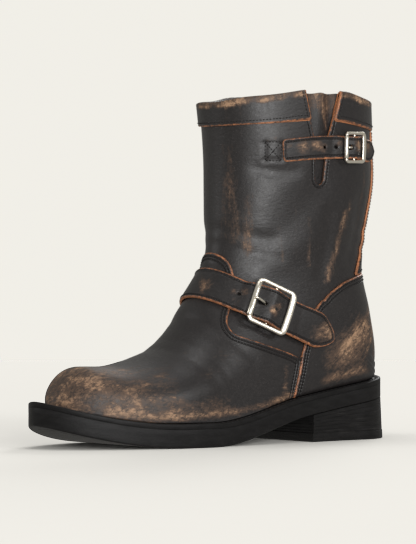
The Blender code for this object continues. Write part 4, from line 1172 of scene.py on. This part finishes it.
def make_buckle(strap, metal):
    """A frame with a rounded section, a roller on its front bar, a middle bar and a prong."""
    size, kind = strap.size, strap.kind
    length, width = size["frame"]
    rail, thick, bar, roller = size["rail"], size["rail_thick"], size["bar"], size["roller"]
    front = -(length - rail) / 2
    inner = width / 2 - rail
    path = rounded_frame(length - rail, width - rail, rail * 0.95, straight=26)
    slim = np.clip((-path[:, 0] - abs(front) + 0.25) / 0.2, 0, 1)
    slim = slim * np.clip((inner - np.abs(path[:, 1])) / 0.8, 0, 1)
    back = np.clip((path[:, 0] - abs(front) + 1.5) / 1.5, 0, 1)
    bow = 0.8 * back * (1 - (path[:, 1] / (width / 2)) ** 2)
    middle = np.cos(np.clip(path[:, 0] / length, -0.5, 0.5) * np.pi)
    waist = 1 - 0.14 * (np.abs(path[:, 1]) > inner) * middle
    wide = (rail / 2) * waist * (1 - slim) + bar * slim + 0.20 * rail * back
    high = (thick / 2) * (1 - slim) + bar * slim - 0.25 * back
    ring = tube(np.column_stack([path[:, 0] - 0.20 * rail * back + bow, path[:, 1], 0 * path[:, 0]]),
                wide, high, (0, 0, 1), 2.6, True)
    drop = thick / 2 - 0.2
    rod = tube([(0, y, -drop) for y in np.linspace(-inner - 0.4, inner + 0.4, 9)], bar, bar, (0, 0, 1))
    parts = {"buckle": joined([ring, rod])}

    long = inner - 0.8
    y = np.array([-long, -long, -long + 0.35, -long * 0.5, 0, long * 0.5, long - 0.35, long, long])
    r = np.array([bar + GAP, roller - 0.35, roller, roller, roller, roller, roller, roller - 0.35, bar + GAP])
    turn = np.arange(28) * 2 * np.pi / 28
    across = np.repeat(y[:, None], 28, 1)
    rings = np.stack([front + r[:, None] * np.cos(turn), across, r[:, None] * np.sin(turn)], -1)
    parts["roller"] = (rings.reshape(-1, 3), ring_faces(len(y), 28, True))

    course = strap.main_course()
    low = lambda t: float(np.interp(t, course[0], course[1])) - strap.height
    prong, (slot, slot_length) = size["prong"], size["slot"]
    above, below = slot + 0.02 * slot_length, slot + 0.40 * slot_length
    marks = np.array([(-bar - GAP - prong, -drop - bar - GAP), (below, low(below) - prong - GAP),
                      (above, low(above) + size["thick"] + prong + GAP),
                      (front + roller * 0.7, roller + GAP + prong + 0.3),
                      (front - roller * 0.6, roller + GAP + prong)])
    fine = np.array(smooth_line(marks, 7))
    path = np.column_stack([fine[:, 0], 0 * fine[:, 0], fine[:, 1]])
    taper = np.interp(np.linspace(0, 1, len(path)), (0, 0.1, 0.8, 0.97, 1), (0.9, 1, 0.95, 0.7, 0.25)) * prong
    eye = bar + GAP + prong * 0.7
    loop = [(eye * np.cos(a + np.pi * 0.9), 0, -drop + eye * np.sin(a + np.pi * 0.9))
            for a in np.linspace(-0.2, np.pi * 1.25, 14)]
    parts["prong"] = joined([tube(path, taper, taper, (0, 1, 0), 2.0, sides=12),
                             tube(loop, prong * 0.9, prong * 0.75, (0, 1, 0), 2.0, sides=12)])
    for label, (points, faces) in parts.items():
        there = points @ strap.axes.T + strap.origin
        made = piece(f"{kind}_{label}_polished", there, faces, [metal], sharp=50)
        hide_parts(f"{kind}_{label}")


def sole_ring(inset, height, front=SOLE_LENGTH, count=110, rear=None, toe=None):
    """A ring round the sole's outline: lateral side from the rear forward, then the medial side back."""
    rear = inset if rear is None else rear
    toe = inset if toe is None else toe
    end = min(front, SOLE_LENGTH - toe)
    turn = np.pi if front >= SOLE_LENGTH else np.pi / 2
    share = (1 - np.cos(turn * np.arange(count + 1) / count)) / (1 - np.cos(turn))
    s = rear + (end - rear) * share
    z = height(s) if callable(height) else np.full_like(s, height)
    sides = [np.stack([side * half_width(s, side, inset, rear, toe), s, z], -1) for side in (+1, -1)]
    sides[0][0, 0] = sides[1][0, 0] = 0.0
    if front >= SOLE_LENGTH:
        sides[1][-1] = sides[0][-1]
        return np.vstack([sides[0], sides[1][-2:0:-1]])
    return np.vstack([sides[0], sides[1][:0:-1]])


def cap(count, start, whole):
    """Strips across a ring, from its lateral to its medial side."""
    faces, half = [], count // 2
    for i in range(half):
        if whole:
            corners = [i, i + 1, count - i - 1, (count - i) % count]
        else:
            corners = [i, i + 1, count - i - 1] + ([count - i] if i else [])
        faces.append([start + c for c in dict.fromkeys(corners)])
    return faces


def stacked(name, rings, materials, hollow=False, whole=True, numbers=None):
    """A sole piece from rings in order, its first and last closed over unless it is hollow."""
    rings = np.array(rings)
    count = rings.shape[1]
    faces = ring_faces(len(rings), count, hollow)
    if not hollow:
        first, final = cap(count, 0, whole), cap(count, (len(rings) - 1) * count, whole)
        faces += [face[::-1] for face in first] + final
    points = place(rings.reshape(-1, 3))
    made = piece(name, points, faces, materials, numbers=numbers, sharp=40)
    bm = bmesh.new()
    bm.from_mesh(made.data)
    bmesh.ops.remove_doubles(bm, verts=bm.verts, dist=1e-7)
    bmesh.ops.recalc_face_normals(bm, faces=bm.faces)
    bm.to_mesh(made.data)
    bm.free()
    return made


def corner_arc(inset, low, radius, upward=True, count=5):
    """Insets and heights round a sole edge's corner."""
    turns = np.linspace(0, np.pi / 2, count)
    if upward:
        return [(inset + radius * (1 - np.sin(t)), low + radius * (1 - np.cos(t))) for t in turns]
    return [(inset + radius * (1 - np.cos(t)), low - radius * (1 - np.sin(t))) for t in turns]


class BootSizes(bpy.types.PropertyGroup):
    """Sizes of the finish"""

    stitch: FloatProperty(name="Stitch", description="Length of one stitch with its gap", default=0.0023,
                          min=0.001, max=0.01, subtype="DISTANCE", unit="LENGTH", precision=4)
    thread: FloatProperty(name="Thread", description="Thickness of the thread", default=0.00075,
                          min=0.0002, max=0.003, subtype="DISTANCE", unit="LENGTH", precision=4)
    grain_cells: FloatProperty(name="Grain", description="Pebbles of the leather's grain in a metre",
                               default=820.0, min=100.0, max=3000.0)
    seam_rows: IntProperty(name="Seam rows", description="Rows of stitches along the vamp and the counter",
                           default=2, min=1, max=3)


class BootColours(bpy.types.PropertyGroup):
    """Colours of the finish"""

    black: FloatVectorProperty(name="Black", description="The leather's top coat", subtype="COLOR",
                               default=(0.0098, 0.0084, 0.0086), min=0, max=1)
    charcoal: FloatVectorProperty(name="Charcoal", description="The top coat where it has paled", subtype="COLOR",
                                  default=(0.0165, 0.0140, 0.0138), min=0, max=1)
    brown: FloatVectorProperty(name="Brown", description="The hide where the black is rubbed thin",
                               subtype="COLOR", default=(0.084, 0.049, 0.031), min=0, max=1)
    tan: FloatVectorProperty(name="Tan", description="The hide where it is rubbed bare", subtype="COLOR",
                             default=(0.30, 0.182, 0.108), min=0, max=1)
    raw_edge: FloatVectorProperty(name="Raw edge", description="Cut edges of the hide", subtype="COLOR",
                                  default=(0.40, 0.150, 0.060), min=0, max=1)
    lining: FloatVectorProperty(name="Lining", description="Inside of the shaft", subtype="COLOR",
                                default=(0.20, 0.115, 0.062), min=0, max=1)
    thread: FloatVectorProperty(name="Thread", description="Waxed thread", subtype="COLOR",
                                default=(0.010, 0.009, 0.009), min=0, max=1)
    rubber: FloatVectorProperty(name="Rubber", description="Sole and heel", subtype="COLOR",
                                default=(0.0055, 0.0052, 0.0053), min=0, max=1)
    metal: FloatVectorProperty(name="Nickel", description="Buckles", subtype="COLOR",
                               default=(0.86, 0.81, 0.71), min=0, max=1)
    metal_dull: FloatVectorProperty(name="Dull nickel", description="Buckles where they are tarnished",
                                    subtype="COLOR", default=(0.66, 0.59, 0.47), min=0, max=1)
    paper: FloatVectorProperty(name="Backdrop", description="Floor and backdrop", subtype="COLOR",
                               default=(0.880, 0.860, 0.802), min=0, max=1)


class BootStage(bpy.types.PropertyGroup):
    """Camera and lights"""

    lens: FloatProperty(name="Lens", description="Focal length", default=0.229, min=0.02, max=1.0,
                        subtype="DISTANCE_CAMERA", unit="CAMERA")
    camera: FloatVectorProperty(name="Camera", description="Where the camera stands", subtype="TRANSLATION",
                                unit="LENGTH", default=(1.9218, -1.4489, 0.1367))
    aim: FloatVectorProperty(name="Aim", description="Where the camera looks", subtype="TRANSLATION",
                             unit="LENGTH", default=(-0.004, 0.004, 0.1185))
    key_light: FloatProperty(name="Key light", description="Power of the large soft light", default=22.0,
                             min=0, max=500, subtype="POWER", unit="POWER")
    ambient: FloatProperty(name="Ambient", description="Light from all round", default=0.45, min=0, max=5)
    reflected: FloatProperty(name="Reflected", description="The studio's brightness in reflections",
                             default=0.40, min=0, max=5)


class BOOT_OT_upper(bpy.types.Operator):
    """The shaft and foot in one hide, lined, with its side slit"""

    bl_idname = "boot.upper"
    bl_label = "Upper"

    def execute(self, context):
        rows = steps((0, 5.2, 22), (5.2, 10, 66), (10, 11, 20), (11, COLLAR, 106))
        hide = Sheet(np.linspace(-1, 1, 201), rows, skin, (-WALL, 0.0), outside_slit)
        materials = [leather("upper_leather", 1.0, seams=(SEAM,), rim=0.6),
                     raw_edge("upper_edge", 1.0, 0.199), lining("upper_lining")]
        made = hide.build("upper_hide", materials, rubbed, backed=True)
        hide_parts("upper")
        black = thread("slit_thread")
        keep = lambda u, v: (v < CUFF_ROW - 0.05)
        rows = sewn_rows(hide, (SEAM,), keep)
        for a, b in [*zip(BOX_STITCH[:-1], BOX_STITCH[1:]), BOX_CROSS]:
            u, v = np.linspace(a, b, 30).T
            rows.append(stitch_line(u, v, 0.0, SHORT_STITCH))
        made = stitching("shaft_stitches", rows, black)
        return {"FINISHED"}


class BOOT_OT_overlays(bpy.types.Operator):
    """Vamp, counter and back panel, cut from thick hide and sewn over the upper"""

    bl_idname = "boot.overlays"
    bl_label = "Vamp, counter and back panel"

    def execute(self, context):
        black = thread("seam_thread")
        offsets = [SEAM - 0.1 + SEAM_STEP * k for k in range(sizes().seam_rows)]
        shown = lambda u, v: (np.abs(u) < 0.985) & (v > 0.02)

        front = [(s + GAP, z) for s, z in COUNTER_FRONT]
        outline = smooth_line(VAMP_EDGE, 6) + front + [(300, 14), (300, VAMP_EDGE[0][1])]
        rows = steps((0, 0.3, 10), (0.3, 1.2, 20), (1.2, 6, 88), (6, 11.4, 96))
        vamp = Sheet(np.linspace(-1, 1, 221), rows, skin, OVERLAY, cut_by(outline))
        finish = [leather("vamp_leather", 11.0, offsets, stretch=(1, 5, 1), turn=(-0.15, 0, 0)),
                  raw_edge("vamp_raw_edge", 3.0)]
        made = vamp.build("vamp_hide", finish, rubbed)
        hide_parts("vamp")
        stitching("vamp_stitches", sewn_rows(vamp, offsets, shown), black)

        outline = smooth_line(COUNTER_TOP, 6) + list(COUNTER_FRONT[1:]) + [(-12, 14)]
        rows = steps((5.5, 10, 96), (10, 13.6, 84))
        finish = [leather("counter_leather", 21.0, offsets, turn=(-0.85, 0, 0)), raw_edge("counter_raw_edge", 5.0)]
        counter = Sheet(np.linspace(-1, 1, 201), rows, skin, COUNTER, cut_by(outline))
        made = counter.build("counter_hide", finish, rubbed)
        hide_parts("counter")
        stitching("counter_stitches", sewn_rows(counter, offsets, shown), black)

        top = [(s, z + GAP) for s, z in smooth_line(COUNTER_TOP, 6) if s < PANEL_EDGE[0][0] - 1]
        outline = top + smooth_line(PANEL_EDGE, 5) + [(-12, 228)]
        field = cut_by(outline)
        rows = steps((11.4, CUFF_ROW - 0.02, 110))
        columns = np.concatenate([np.linspace(-1, -0.68, 34), np.linspace(0.68, 1, 34)])
        far_field = lambda u, v: np.where(np.abs(u) < 0.69, -5.0, field(u, v))
        panel = Sheet(columns, rows, skin, PANEL, far_field)
        finish = [leather("panel_leather", 31.0, seams=(SEAM,), rim=1.3), raw_edge("panel_raw_edge", 7.0)]
        made = panel.build("panel_hide", finish, rubbed)
        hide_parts("back_panel")
        stitching("panel_stitches", sewn_rows(panel, (SEAM,), shown), black)
        return {"FINISHED"}


class BOOT_OT_collar(bpy.types.Operator):
    """The folded cuff round the collar, and the gusset behind the slit"""

    bl_idname = "boot.collar"
    bl_label = "Cuff and gusset"

    def execute(self, context):
        turn = np.linspace(0, np.pi, 9)
        over = [(18 + 6.5 * t / np.pi, COLLAR, -0.3 + 2.3 * np.cos(t), 1.4 * np.sin(t)) for t in turn]
        course = np.array([(0, CUFF_ROW, 2.0, 0)] + over + [(40, 16.40, -2.6, 0)]).T

        def fold(u, p, layer):
            v, grow, rise = (np.interp(p, course[0], k) for k in course[1:])
            slack = np.clip((p - 4) / 10, 0, 1)
            wave = slack * (0.35 * np.sin(9.0 * u + 0.8) + 0.25 * np.sin(23.0 * u))
            tall = 3.0 * np.exp(-(((u + 0.33) / 0.20) ** 2)) + 1.8 * np.exp(-(((u + 0.62) / 0.12) ** 2))
            tall = tall + 1.5 * np.exp(-(((u + 0.86) / 0.12) ** 2)) * np.clip((1 - np.abs(u)) / 0.06, 0, 1)
            rise = rise + tall * np.clip((p - 3) / 14, 0, 1)
            outward = np.where(p < 21.2, 1, -1)
            grow = grow + folds(u, v) + (np.asarray(layer) - CUFF[1]) * outward + 0.5 * wave
            return place(last(u, v, grow) + np.stack([0 * v, 0 * v, rise + wave * np.clip(p / 18, 0, 1)], -1))

        def field(u, p):
            v = np.interp(p, course[0], course[1])
            return np.minimum(outside_slit(u, v), p - 0.01)

        rows = np.concatenate([np.linspace(0, 18, 20), np.linspace(18, 24.5, 12)[1:],
                               np.linspace(24.5, 40, 9)[1:]])
        cuff = Sheet(np.linspace(-1, 1, 241), rows, fold, CUFF, field)

        def wear_and_shade(u, p):
            band = np.exp(-((p - 14.5) / 2.2) ** 2) * (0.62 + 0.25 * np.sin(31 * u) + 0.15 * np.sin(73 * u + 1))
            return np.clip(0.55 * np.exp(-((p - 19) / 3.5) ** 2) + band + 0.10, 0, 1)

        finish = [leather("cuff_leather", 41.0, seams=(), rim=1.1), raw_edge("cuff_raw_edge", 9.0)]
        made = cuff.build("cuff_band", finish, wear_and_shade)
        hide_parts("cuff")
        pitch, rows = sizes().stitch / MM, []
        u = np.linspace(-0.999, 0.999, 700)
        for part in np.split(u, np.flatnonzero(np.diff(field(u, np.full_like(u, SEAM)) > 1.5)) + 1):
            if len(part) > 6 and field(part[2:3], np.array([SEAM]))[0] > 1.5:
                rows.append(stitch_line(part, np.full_like(part, SEAM), CUFF[1], pitch, fold))
        half, height = np.array(SLIT[::-1]).T
        guess, up = np.linspace(-0.95, -0.2, 400), np.linspace(18.0, 1.0, 40)
        for side in (-1, 1):
            columns = []
            for p in up:
                row = np.interp(p, course[0], course[1])
                s = SLIT_AT - side * (np.interp(last(-0.6, row)[2], height, half) + 2.6)
                columns.append(guess[np.argmin(np.abs(last(guess, row)[:, 1] - s))])
            columns = np.polyval(np.polyfit(up, columns, 3), up)
            rows.append(stitch_line(columns, up, CUFF[1], pitch, fold))
        stitching("cuff_stitches", rows, thread("cuff_thread"))

        def pleated(u, v, layer):
            s, z = np.moveaxis(last(u, v)[..., 1:], -1, 0)
            pleat = 0.8 * np.cos((s - SLIT_AT) / 2.6) * np.clip((z - 190) / 40, 0, 1)
            rise = 4.2 * np.clip((v - 15.8) / 1.2, 0, 1) ** 2
            point = last(u, v, np.asarray(layer) + folds(u, v) - 0.4 + pleat)
            return place(point + np.stack([0 * v, 0 * v, rise], -1))

        def behind_slit(u, v):
            within = inside(last(u, v)[:, 1:], slit_outline(GUSSET_MARGIN))
            return np.minimum(within, (COLLAR - 0.03 - v) * 21 + 0.01)

        gusset = Sheet(np.linspace(-0.80, -0.41, 90), np.linspace(13.9, COLLAR - 0.03, 110), pleated,
                       GUSSET, behind_slit)

        def gusset_wear_and_shade(u, v):
            s, z = np.moveaxis(last(u, v)[..., 1:], -1, 0)
            # Painted shade: a near-black spot at the slit's foot, where the gusset lies deep behind the shaft's
            # edges.
            painted_shade_spot = np.exp(-(((s - 75.6) ** 2 + (z - 184.5) ** 2) / 1.1**2) ** 2)
            streak = 0.35 * np.exp(-(((s - 72 - (z - 225) * 0.35) / 2.5) ** 2))
            return np.clip(0.20 + 0.55 * np.clip((z - 214) / 20, 0, 1) + streak, 0, 0.85) * (1 - painted_shade_spot) - painted_shade_spot

        finish = [leather("gusset_leather", 51.0, rim=0.3, base=-0.3), lining("gusset_raw_edge")]
        made = gusset.build("gusset_hide", finish, gusset_wear_and_shade)
        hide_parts("gusset")
        return {"FINISHED"}


class BOOT_OT_straps(bpy.types.Operator):
    """The instep strap and the collar strap, with their chapes, buckles and stitches"""

    bl_idname = "boot.straps"
    bl_label = "Straps and buckles"

    def execute(self, context):
        for number, kind in enumerate(("instep", "top")):
            strap = Strap(kind)
            size = strap.size
            surface = strap.surface(strap.main_course())
            t = np.linspace(strap.start, size["tip"], int((size["tip"] - strap.start) / 0.62))
            y = np.linspace(-strap.half, strap.half, int(size["width"] / 0.6))
            sheet = Sheet(t, y, surface, (0.0, size["thick"] - 0.25), strap.field, chamfer=0.55)
            finish = [leather(f"{kind}_strap_leather", 61.0 + 10 * number, (STRAP_SEAM,), stretch=(1, 3, 1)),
                      raw_edge(f"{kind}_strap_raw_edge", 15.0 + number), lining(f"{kind}_strap_flesh")]
            made = sheet.build(f"{kind}_strap_hide", finish, strap_wear_and_hole_shade(kind), backed=True)
            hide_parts(f"{kind}_strap")
            seam = np.array(smooth_line(strap.seam(STRAP_SEAM)[::2], 2))
            rows = [stitch_line(*seam.T, size["thick"] - 0.25, SHORT_STITCH, surface)]
            waxed = thread(f"{kind}_strap_thread")
            stitching(f"{kind}_strap_stitches", rows, waxed, 0.0004)

            half = strap.half - 1.0
            t = np.linspace(0.2 - size["bar"], size["chape"], 44)
            y = np.linspace(-half, half, 24)
            corner = 4.0

            def chape_field(a, b):
                end = size["chape"] - a
                from_side = half - np.abs(b)
                off = np.hypot(np.clip(corner - end, 0, None), np.clip(corner - from_side, 0, None))
                round_end = np.where((end < corner) & (from_side < corner), corner - off, 99)
                return np.minimum(np.minimum(from_side, end), round_end) + 0.01

            surface = strap.surface(strap.chape_course(), 0.0)
            sheet = Sheet(t, y, surface, (0.0, CHAPE_THICK), chape_field, chamfer=0.4)
            finish = [leather(f"{kind}_chape_leather", 65.0 + 10 * number),
                      raw_edge(f"{kind}_chape_raw_edge", 17.0), lining(f"{kind}_chape_flesh")]
            made = sheet.build(f"{kind}_chape_hide", finish, lambda a, b: np.full(len(a), 0.15), backed=True)
            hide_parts(f"{kind}_chape")
            make_buckle(strap, nickel(f"{kind}_nickel"))
        return {"FINISHED"}


class BOOT_OT_sole(bpy.types.Operator):
    """Outsole, welt, heel stack, top lift and insole"""

    bl_idname = "boot.sole"
    bl_label = "Sole and heel"

    def execute(self, context):
        rim = lambda s: sole_thickness(s) - WELT - GAP
        level = lambda part: (lambda s: under(s) + part(s))
        rings, tread = [], []

        def add(inset, height, ribs=0.0):
            rings.append(sole_ring(inset, height))
            tread.append(np.full(len(rings[-1]), ribs))

        for inset, ribs in ((33.0, 1), (24.0, 1), (14.0, 1), (8.0, 1), (6.5, 0), (3.0, 0)):
            add(inset, under, ribs)
        for inset, rise in corner_arc(0.0, 0.0, 1.2):
            add(inset, level(lambda s, r=rise: r))
        add(0.0, level(lambda s: 0.35 * rim(s)))
        add(0.05, level(lambda s: 0.65 * rim(s)))
        add(0.0, level(lambda s: rim(s) - 0.3))
        add(0.12, level(lambda s: rim(s) - 0.08))
        add(0.35, level(rim))
        add(WELT_REACH + GAP, level(rim))
        add(WELT_REACH + GAP, level(lambda s: rim(s) + WELT))
        made = stacked("outsole_rubber", rings, [rubber("outsole_black", ribbed=True)],
                       numbers={"tread": np.concatenate(tread)})
        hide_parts("outsole")

        low = level(lambda s: rim(s) + 0.04)
        rings = [sole_ring(0.35, low), sole_ring(0.12, lambda s: low(s) + 0.08),
                 sole_ring(0.0, lambda s: low(s) + 0.3)]
        rings += [sole_ring(inset, lambda s, r=rise: seat(s) + r)
                  for inset, rise in corner_arc(0.0, 0.0, 0.9, False)]
        for inset, dip in ((2.2, 0.0), (2.7, -0.45), (3.6, -0.45), (4.1, 0.0), (8.0, 0.0), (WELT_REACH, 0.0)):
            rings.append(sole_ring(inset, lambda s, d=dip: seat(s) + d))
        rings.append(sole_ring(WELT_REACH, low))
        made = stacked("welt_strip", rings, [rubber("welt_black")], hollow=True)
        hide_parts("welt")
        ring = sole_ring(3.15, lambda s: seat(s) - 0.35, count=260)
        ring = np.vstack([ring, ring[:1]])
        far = np.concatenate([[0], np.cumsum(np.linalg.norm(np.diff(ring, axis=0), axis=1))])
        edges = np.linspace(0, far[-1], int(far[-1] / WELT_STITCH) + 1)
        ends = [np.stack([np.interp(at, far, ring[:, k]) for k in range(3)], 1)
                for at in (edges[:-1] + 0.5, edges[1:] - 0.5)]
        up = np.tile([0.0, 0.0, 1.0], (len(edges) - 1, 1))
        made = stitching("welt_stitches", [(place(ends[0]), place(ends[1]), up)], thread("welt_thread"), 0.00042)

        count, rings = 44, []
        low_z, lifts = LIFT + 0.04, 6
        for k in range(lifts):
            for share, inset in ((0.0, 0.16), (0.06, 0.0), (0.5, 0.0), (0.94, 0.0), (1.0, 0.16)):
                part = (k + share) / lifts
                spread = -0.9 + 0.95 * part
                top = lambda s, p=part: low_z + (under(s) - 0.06 - low_z) * p
                rings.append(sole_ring(spread + inset, top, HEEL_LENGTH - part - inset * 0.7, count))
        made = stacked("heel_stack", rings, [rubber("heel_black", lined=1.6)], whole=False)
        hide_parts("heel")
        rings = []
        for inset, rise in corner_arc(0.0, 0.0, 0.8):
            rings.append(sole_ring(inset - HEEL_FLARE, rise, HEEL_LENGTH + 0.8 - inset, count))
        rings.append(sole_ring(0.25 - HEEL_FLARE, LIFT - 0.3, HEEL_LENGTH + 0.8, count))
        rings.append(sole_ring(0.5 - HEEL_FLARE, LIFT, HEEL_LENGTH + 0.5, count))
        made = stacked("top_lift_rubber", rings, [rubber("top_lift_black", lined=0.6)], whole=False)
        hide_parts("top_lift")
        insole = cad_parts["insole"]
        insole.data.materials.clear()
        insole.data.materials.append(lining("insole_leather"))
        return {"FINISHED"}


class BOOT_OT_stage(bpy.types.Operator):
    """Camera, floor, backdrop and soft studio light"""

    bl_idname = "boot.stage"
    bl_label = "Stage"

    def execute(self, context):
        scene, stage, hue = context.scene, context.scene.boot_stage, colours()
        lens = bpy.data.cameras.new("camera")
        lens.lens = stage.lens / MM
        lens.sensor_width = 36.0
        lens.clip_end = 50.0
        camera = bpy.data.objects.new("camera", lens)
        camera.location = stage.camera
        camera.rotation_euler = (Vector(stage.aim) - Vector(stage.camera)).to_track_quat("-Z", "Y").to_euler()
        scene.collection.objects.link(camera)
        scene.camera = camera

        board = Board("paper_floor")
        paper = board.blend(board.noise(board.where(), 9.0, 3.0), hue.paper, [c * 0.985 for c in hue.paper])
        material = board.finish(base_color=paper, roughness=0.9)
        turn = np.arange(64) * np.pi / 32
        radii = (0.25, 0.6, 1.0, 1.7)
        points = [(0, 0, 0)] + [(r * np.cos(a), r * np.sin(a), 0) for r in radii for a in turn]
        faces = [[0, 1 + j, 1 + (j + 1) % 64] for j in range(64)] + ring_faces(len(radii), 64, start=1)
        mesh = bpy.data.meshes.new("floor")
        mesh.from_pydata(points, [], [f if len(f) == 3 else f[::-1] for f in faces])
        mesh.materials.append(material)
        floor = bpy.data.objects.new("floor", mesh)
        floor.is_shadow_catcher = True
        floor.visible_glossy = False
        scene.collection.objects.link(floor)
        floor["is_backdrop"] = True

        right, toward = Vector(CAMERA_RIGHT), Vector(CAMERA_SIDE)
        for name, across, near, up, size, power in LAMPS:
            light = bpy.data.lights.new(name, "AREA")
            light.shape = "DISK"
            light.size = size
            light.energy = stage.key_light * power
            lamp = bpy.data.objects.new(name, light)
            lamp.location = right * across + toward * near + Vector((0, 0, up))
            aim = Vector((0, 0, 0.1)) - lamp.location
            lamp.rotation_euler = aim.to_track_quat("-Z", "Y").to_euler()
            scene.collection.objects.link(lamp)

        world = bpy.data.worlds.new("studio")
        scene.world = world
        world.use_nodes = True
        nodes, links = world.node_tree.nodes, world.node_tree.links
        path = nodes.new("ShaderNodeLightPath")
        for ray, strength in ((None, stage.ambient), ("Is Glossy Ray", stage.reflected), ("Is Camera Ray", 1.0)):
            tone = nodes.new("ShaderNodeBackground")
            tone.inputs["Color"].default_value = (*hue.paper, 1)
            tone.inputs["Strength"].default_value = strength
            if ray is None:
                shown = tone
                continue
            mix = nodes.new("ShaderNodeMixShader")
            links.new(path.outputs[ray], mix.inputs[0])
            links.new(shown.outputs[0], mix.inputs[1])
            links.new(tone.outputs[0], mix.inputs[2])
            shown = mix
        links.new(shown.outputs[0], nodes["World Output"].inputs["Surface"])
        scene.view_settings.view_transform = "Standard"
        return {"FINISHED"}


class BOOT_PT_panel(bpy.types.Panel):
    """Everything that makes the boot, in order"""

    bl_idname = "BOOT_PT_panel"
    bl_label = "Engineer boot"
    bl_space_type = "VIEW_3D"
    bl_region_type = "UI"
    bl_category = "Boot"

    def draw(self, context):
        layout = self.layout
        for operator in OPERATORS:
            layout.operator(operator.bl_idname)
        for group in ("boot_sizes", "boot_colours", "boot_stage"):
            box = layout.box()
            settings = getattr(context.scene, group)
            for label in settings.bl_rna.properties.keys():
                if label not in ("rna_type", "name"):
                    box.prop(settings, label)


GROUPS = {"boot_sizes": BootSizes, "boot_colours": BootColours, "boot_stage": BootStage}
OPERATORS = (BOOT_OT_upper, BOOT_OT_overlays, BOOT_OT_collar, BOOT_OT_straps, BOOT_OT_sole, BOOT_OT_stage)


def register():
    for thing in (*GROUPS.values(), *OPERATORS, BOOT_PT_panel):
        bpy.utils.register_class(thing)
    for label, group in GROUPS.items():
        setattr(bpy.types.Scene, label, PointerProperty(type=group))


def unregister():
    for label in GROUPS:
        delattr(bpy.types.Scene, label)
    for thing in reversed((*GROUPS.values(), *OPERATORS, BOOT_PT_panel)):
        bpy.utils.unregister_class(thing)


def main():
    register()
    bpy.ops.boot.upper()
    bpy.ops.boot.overlays()
    bpy.ops.boot.collar()
    bpy.ops.boot.straps()
    bpy.ops.boot.sole()
    bpy.ops.boot.stage()
    boxes = {name: [list(corner) for corner in box]
             for name, box in (("cad", cad_box), ("visual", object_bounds()))}


if __name__ == "__main__":
    main()
